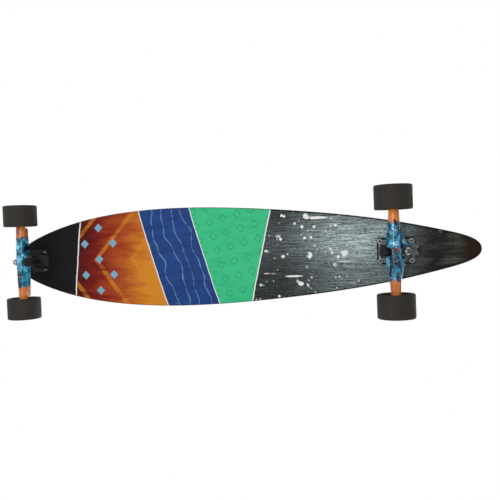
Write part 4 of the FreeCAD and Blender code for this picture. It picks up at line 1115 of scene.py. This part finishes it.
class LONGBOARD_OT_steering(bpy.types.Operator):
    """Make the kingpins with their nuts, bushings and cup washers"""
    bl_idname = "longboard.steering"
    bl_label = "Steering"

    def execute(self, context):
        for end in ENDS:
            place = steering_place(end)
            self.kingpin(end, place)
            for side in ("boardside", "roadside"):
                self.bushing(end, side, place)
                self.washer(end, side, place)
        return {"FINISHED"}

    def kingpin(self, end, place):
        """A headed pin with a threaded tip, and its lock nut."""
        truck = settings("truck")
        low, high, _ = reach(end + "_kingpin", place)
        nut_low, nut_high, _ = reach(end + "_kingpin_nut", place)
        shank = truck.kingpin_diameter
        head = low + truck.kingpin_head_height
        tip = high - truck.thread_pitch
        rows = [(0, low)] + hex_rows(truck.kingpin_flats, low, head)
        rows += [(shank / 2, head)]
        rows += thread_rows(shank, nut_low, tip, truck.thread_pitch)
        rows += [(shank / 2 - truck.thread_pitch, high), (0, high)]
        node = end + "_kingpin"
        stand_for(surface(node + "_bolt", [spun(rows, place)], [shared(black_oxide)]), node)
        rows, finishes = lock_nut(truck.kingpin_flats, shank, nut_low, nut_high)
        shells = [spun(rows, place, finishes)]
        materials = [shared(polished_race), shared(nylon_insert)]
        stand_for(surface(node + "_lock_nut", shells, materials), node + "_nut")

    def bushing(self, end, side, place):
        """A barrel or cone of urethane with soft edges, as wide at each tip as the CAD node is there."""
        truck = settings("truck")
        node = "%s_%s_bushing" % (end, side)
        low, high, _ = reach(node, place)
        bore = truck.kingpin_diameter / 2
        soft = truck.bushing_edge
        local = turned(node, place)
        outer = np.linalg.norm(local[:, :2], axis=1)
        near, far = (outer[np.isclose(local[:, 2], tip, atol=MM / 10)].max() for tip in (low, high))
        rows = rounded([(near, low, soft), (far, high, soft), (bore, high, 0), (bore, low, 0)])
        stand_for(surface(node + "_soft", [spun(rows, place)], [shared(bushing_urethane)]), node)

    def washer(self, end, side, place):
        """A pressed cup: a disc with a rim turned over the bushing."""
        truck = settings("truck")
        node = "%s_%s_washer" % (end, side)
        low, high, wide = reach(node, place)
        back, lip = (low, high) if side == "boardside" else (high, low)
        floor = back + math.copysign(truck.washer_floor, lip - back)
        bore = truck.kingpin_diameter / 2
        wall = wide - truck.washer_wall
        soft = truck.soft_edge
        rows = rounded([(bore, back, soft), (wide, back, 3 * soft), (wide, lip, soft), (wall, lip, soft),
                        (wall, floor, soft), (bore, floor, soft)])
        stand_for(surface(node + "_cup", [spun(rows, place)], [shared(black_oxide)]), node)


class LONGBOARD_OT_axles(bpy.types.Operator):
    """Make the axles with threaded ends, their nuts and the speed washers"""
    bl_idname = "longboard.axles"
    bl_label = "Axles"

    def execute(self, context):
        truck = settings("truck")
        steel = shared(zinc_plate)
        shank = truck.axle_diameter
        pitch = truck.thread_pitch
        for end in ENDS:
            x, _, z = JOINTS[end + "_left_spin"]["pos_m"]
            nuts = []
            washers = []
            for _, sign in SIDES:
                place = stand((x, 0, z), (0, sign, 0))
                nut_low, nut_high = self.outer_run(end + "_axle_nuts", place)
                rows, finishes = lock_nut(truck.axle_nut_flats, shank, nut_low, nut_high)
                nuts.append(spun(rows, place, finishes))
                washers += self.washers(end, place)
            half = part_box(end + "_axle")[1].y
            tip = shank / 2 - pitch
            thread = thread_rows(shank, half - truck.axle_thread, half - pitch, pitch)
            rod = [(0, -half), (tip, -half)] + [(radius[::-1], -height) for radius, height in thread[::-1]]
            rod += thread + [(tip, half), (0, half)]
            place = stand((x, 0, z), (0, 1, 0))
            stand_for(surface(end + "_axle_rod", [spun(rod, place)], [steel]), end + "_axle")
            nut_materials = [steel, shared(nylon_insert)]
            stand_for(surface(end + "_axle_lock_nuts", nuts, nut_materials), end + "_axle_nuts")
            washer_piece = surface(end + "_washer_rings", washers, [shared(polished_race)])
            stand_for(washer_piece, end + "_speed_washers")
        return {"FINISHED"}

    def outer_run(self, node, place):
        """Where the outer solid of a mirrored pair starts and ends along one half of the axle."""
        along = turned(node, place)[:, 2]
        mine = along[along > 0]
        return mine.min(), mine.max()

    def washers(self, end, place):
        """The two speed washers beside a wheel's bearings."""
        truck = settings("truck")
        low, high = self.outer_run(end + "_speed_washers", place)
        wide = reach(end + "_speed_washers", place)[2]
        thick = truck.speed_washer
        bore = truck.axle_diameter / 2
        soft = truck.soft_edge
        shells = []
        for start in (low, high - thick):
            shells.append(spun(ring_rows(wide, bore, start, start + thick, soft), place))
        return shells


class LONGBOARD_OT_mounting(bpy.types.Operator):
    """Make the countersunk mounting bolts and their lock nuts"""
    bl_idname = "longboard.mounting"
    bl_label = "Mounting hardware"

    def execute(self, context):
        truck = settings("truck")
        plated = shared(zinc_plate)
        black = shared(black_thread)
        shades = {
            "front": ([plated, plated], [shared(black_oxide), black]),
            "rear": ([plated, black], [plated, shared(nylon_insert)]),
        }
        for end in ENDS:
            bolt_shades, nut_shades = shades[end]
            bolt_low, bolt_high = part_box(end + "_mounting_bolts")
            nut_low, nut_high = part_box(end + "_mounting_nuts")
            nut_height = nut_high.z - nut_low.z
            bolts = []
            nuts = []
            for x, y in bolt_places(end):
                place = stand((x, y, bolt_high.z), (0, 0, -1))
                rows, finishes = self.bolt_rows(bolt_high.z - bolt_low.z)
                bolts.append(spun(rows, place, finishes))
                place = stand((x, y, nut_high.z), (0, 0, -1))
                rows, finishes = lock_nut(truck.lock_nut_flats, truck.bolt_diameter, 0, nut_height)
                nuts.append(spun(rows, place, finishes))
            stand_for(surface(end + "_deck_bolts", bolts, bolt_shades), end + "_mounting_bolts")
            stand_for(surface(end + "_deck_lock_nuts", nuts, nut_shades), end + "_mounting_nuts")
        return {"FINISHED"}

    def bolt_rows(self, long):
        """Rows and finishes: a countersunk head with a hexagonal socket, then a shank and a threaded end."""
        truck = settings("truck")
        shank = truck.bolt_diameter
        pitch = truck.thread_pitch
        socket = hexagon(truck.bolt_socket_flats)
        rim = truck.bolt_head_diameter / 2
        soft = truck.soft_edge
        rows = [(0, truck.bolt_socket_depth), (socket, truck.bolt_socket_depth), (socket, soft)]
        rows += [(socket + soft, 0), (rim - soft, 0), (rim, soft / 2)]
        rows += [(shank / 2, truck.bolt_head_height)]
        head = len(rows) - 1
        rows += thread_rows(shank, long - truck.bolt_thread, long - pitch, pitch)
        tip = shank / 2 - 0.6 * pitch
        rows += [(tip, long), (0, long)]
        return rows, [0] * head + [1] * (len(rows) - 1 - head)


class LONGBOARD_OT_wheels(bpy.types.Operator):
    """Make the four wheels: tires, cores, bearing races and spacers"""
    bl_idname = "longboard.wheels"
    bl_label = "Wheels"

    def execute(self, context):
        for end in ENDS:
            for side, sign in SIDES:
                name = "%s_%s" % (end, side)
                place = stand(JOINTS[name + "_spin"]["pos_m"], (0, sign, 0))
                self.tire(name, place)
                self.core(name, place)
                self.bearings(name, place)
        return {"FINISHED"}

    def tire(self, name, place):
        """A wide tread with rounded edges, a flat lip and a dished side down to the core."""
        wheel = settings("wheel")
        low, high, tread = reach(name + "_tire", place)
        core = wheel.core_diameter / 2
        seat = wheel.core_width / 2
        lip = tread - wheel.lip
        rows = rounded([(tread, low, wheel.tread_round), (tread, high, wheel.tread_round),
                        (lip, high, wheel.lip_round), (core, seat, 0), (core, -seat, 0),
                        (lip, low, wheel.lip_round)], steps=7)
        stand_for(surface(name + "_urethane", [spun(rows, place)], [shared(tread_urethane)]), name + "_tire")

    def core(self, name, place):
        """A moulded sleeve with a bearing seat at each side of its middle shoulder."""
        wheel = settings("wheel")
        low, high, outer = reach(name + "_hub", place)
        seat = reach(name + "_outer_races", place)[2] + wheel.seat_clearance
        step = reach(name + "_spacer", place)[1]
        shoulder = wheel.shoulder_diameter / 2
        soft = wheel.core_round
        rows = rounded([(outer, low, 0), (outer, high, 0), (seat, high, soft), (seat, step, 0),
                        (shoulder, step, soft), (shoulder, -step, soft), (seat, -step, 0),
                        (seat, low, soft)])
        stand_for(surface(name + "_core", [spun(rows, place)], [shared(core_plastic)]), name + "_hub")

    def bearings(self, name, place):
        """Two bearings, each an outer race that holds two shields and an inner race, and their spacer."""
        wheel = settings("wheel")
        truck = settings("truck")
        far, outer = reach(name + "_outer_races", place)[1:]
        inner = reach(name + "_inner_races", place)[2]
        step, spacer = reach(name + "_spacer", place)[1:]
        bore = truck.axle_diameter / 2
        soft = truck.soft_edge
        half = wheel.bearing_width / 2
        outers = []
        inners = []
        for sign in (1, -1):
            centre = sign * (far - half)
            outers.append(spun(*self.outer_race(outer, centre, half, place)))
            inners.append(spun(ring_rows(inner, bore, centre - half, centre + half, soft), place))
        race_materials = [shared(polished_race), shared(bearing_shield)]
        stand_for(surface(name + "_outer_rings", outers, race_materials), name + "_outer_races")
        stand_for(surface(name + "_inner_rings", inners, race_materials[:1]), name + "_inner_races")
        tube = spun(ring_rows(spacer, bore, -step, step, soft), place)
        stand_for(surface(name + "_spacer_tube", [tube], [shared(zinc_plate)]), name + "_spacer")

    def outer_race(self, outer, centre, half, place):
        """An outer race with a shield pressed in at each face, as rows, their frame and their finishes."""
        wheel = settings("wheel")
        race = wheel.race_bore / 2
        hole = wheel.shield_bore / 2
        inset = wheel.shield_inset
        face = half - inset
        behind = face - wheel.shield_thickness
        profile = [(outer - inset, half), (outer, face), (outer, -face), (outer - inset, -half)]
        inside = [(race, half), (race, face), (race - inset, face - inset / 2), (race - 2 * inset, face),
                  (hole, face), (hole, behind), (race, behind)]
        lower = [(radius, -height) for radius, height in inside]
        loop = profile + lower + inside[::-1] + profile[:1]
        rows = [(radius, centre + height) for radius, height in loop]
        shield = [1] * (len(inside) - 2)
        return rows, place, [0] * (len(profile) + 1) + shield + [0] + shield + [0, 0]


# The stage.

class LONGBOARD_OT_stage(bpy.types.Operator):
    """Set up the pale floor, the white surroundings, the soft lamps and the camera under the board"""
    bl_idname = "longboard.stage"
    bl_label = "Stage"

    def execute(self, context):
        scene = context.scene
        scene.view_settings.view_transform = "Standard"
        stage = settings("stage")
        self.surroundings(scene, stage)
        self.floor(stage)
        board = (0.0, 0.0, 0.1)
        self.lamp("under_lamp", spot=(0.35, 0.25, -1.5), target=board, width=1.3, power=stage.under_power)
        self.lamp("flash_lamp", spot=(-0.13, 0.12, -1.24), target=(-0.1, 0.0, 0.1), width=0.24,
                  power=stage.flash_power)
        self.lamp("over_lamp", spot=(-0.5, -0.9, 1.7), target=board, width=1.6, power=stage.over_power)
        self.camera(scene, stage)
        return {"FINISHED"}

    def surroundings(self, scene, stage):
        """White to the camera and in reflections, and a plain ambient light for the rest."""
        scene.world = bpy.data.worlds.new("white_room")
        room = Tree(scene.world)
        seen = room.node("ShaderNodeLightPath", output="Is Camera Ray")
        for name in ("Is Glossy Ray", "Is Transmission Ray"):
            seen = seen.larger(room.node("ShaderNodeLightPath", output=name))
        background = room.nodes["Background"]
        room.feed(background.inputs["Color"], (1, 1, 1))
        room.feed(background.inputs["Strength"], seen.between(0, 1, stage.ambient, 1))

    def floor(self, stage):
        """A wide flat sheet that fades out far from the board. It is solid to what comes from above, and
        clear to a line of sight from below and to all the light that such a line gathers."""
        paint = Paint("pale_floor", roughness=0.9, specular_ior_level=0.1)
        x, y, _ = paint.split(paint.spot())
        cloud = paint.noise(paint.vector(x, y), scale=2.5, detail=2)
        paint.put("Base Color", paint.mix(cloud * 0.15, stage.floor, stage.floor_shade))
        passed = paint.node("ShaderNodeLightPath", output="Transparent Depth")
        behind = paint.node("ShaderNodeNewGeometry", output="Backfacing")
        fade_start, fade_end = 1.2, 5.0
        far = (x * x + y * y).between(fade_start, fade_end)
        solid = (1 - passed.over(0.5, 0.2)) * (1 - behind) * (1 - far)
        clear = paint.node("ShaderNodeBsdfTransparent")
        shader = Wire(paint, paint.shader.outputs[0])
        shown = paint.node("ShaderNodeMixShader", inputs={0: solid, 1: clear, 2: shader})
        paint.links.new(shown.socket, paint.nodes["Material Output"].inputs["Surface"])
        half = 6.0
        corners = [(-half, -half, 0), (half, -half, 0), (half, half, 0), (-half, half, 0)]
        mesh = bpy.data.meshes.new("floor")
        mesh.from_pydata(corners, [], [range(4)])
        mesh.materials.append(paint.material)
        sheet = bpy.data.objects.new("floor", mesh)
        bpy.context.scene.collection.objects.link(sheet)

    def lamp(self, name, spot, target, width, power):
        """A square soft lamp aimed at a point."""
        data = bpy.data.lights.new(name, "AREA")
        data.shape = "SQUARE"
        data.size = width
        data.energy = power
        made = bpy.data.objects.new(name, data)
        bpy.context.scene.collection.objects.link(made)
        _, axes = stand(spot, np.array(spot) - np.array(target))
        made.matrix_world = Matrix.Translation(spot) @ Matrix(axes.T.tolist()).to_4x4()

    def camera(self, scene, stage):
        """A camera that looks nearly straight up at the underside, turned by a tilt, a side and a roll."""
        ahead = np.array((math.sin(stage.tilt) * math.cos(stage.side), math.sin(stage.side),
                          math.cos(stage.tilt) * math.cos(stage.side)))
        level = np.array((-math.cos(stage.tilt), 0.0, math.sin(stage.tilt)))
        rise = np.cross(level, ahead)
        right = level * math.cos(stage.roll) - rise * math.sin(stage.roll)
        up = level * math.sin(stage.roll) + rise * math.cos(stage.roll)
        data = bpy.data.cameras.new("camera")
        data.lens = stage.lens
        data.sensor_width = 36
        data.clip_start = 0.01
        camera = bpy.data.objects.new("camera", data)
        scene.collection.objects.link(camera)
        facing = Matrix(np.stack((right, up, -ahead), axis=-1).tolist()).to_4x4()
        camera.matrix_world = Matrix.Translation(stage.camera_place) @ facing
        scene.camera = camera


class LONGBOARD_PT_panel(bpy.types.Panel):
    """Lists the settings and the makers of the longboard's pieces"""
    bl_idname = "LONGBOARD_PT_panel"
    bl_label = "Longboard"
    bl_space_type = "VIEW_3D"
    bl_region_type = "UI"
    bl_category = "Longboard"

    def draw(self, context):
        for operator in OPERATORS:
            self.layout.operator(operator.bl_idname)
        for name in SETTINGS:
            group = settings(name)
            box = self.layout.box()
            box.label(text=name.title())
            for key in group.bl_rna.properties.keys():
                if key not in ("name", "rna_type"):
                    box.prop(group, key)


SETTINGS = {"deck": DeckSettings, "truck": TruckSettings, "wheel": WheelSettings, "stage": StageSettings}
OPERATORS = (LONGBOARD_OT_deck, LONGBOARD_OT_castings, LONGBOARD_OT_steering, LONGBOARD_OT_axles,
             LONGBOARD_OT_mounting, LONGBOARD_OT_wheels, LONGBOARD_OT_stage)


def register():
    for kind in (*SETTINGS.values(), *OPERATORS, LONGBOARD_PT_panel):
        bpy.utils.register_class(kind)
    for name, kind in SETTINGS.items():
        setattr(bpy.types.Scene, "longboard_" + name, PointerProperty(type=kind))


def unregister():
    for name in SETTINGS:
        delattr(bpy.types.Scene, "longboard_" + name)
    for kind in (LONGBOARD_PT_panel, *OPERATORS[::-1], *SETTINGS.values()):
        bpy.utils.unregister_class(kind)


def main():
    """Register the add-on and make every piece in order."""
    register()
    bpy.ops.longboard.deck()
    bpy.ops.longboard.castings()
    bpy.ops.longboard.steering()
    bpy.ops.longboard.axles()
    bpy.ops.longboard.mounting()
    bpy.ops.longboard.wheels()
    bpy.ops.longboard.stage()


if __name__ == "__main__":
    main()
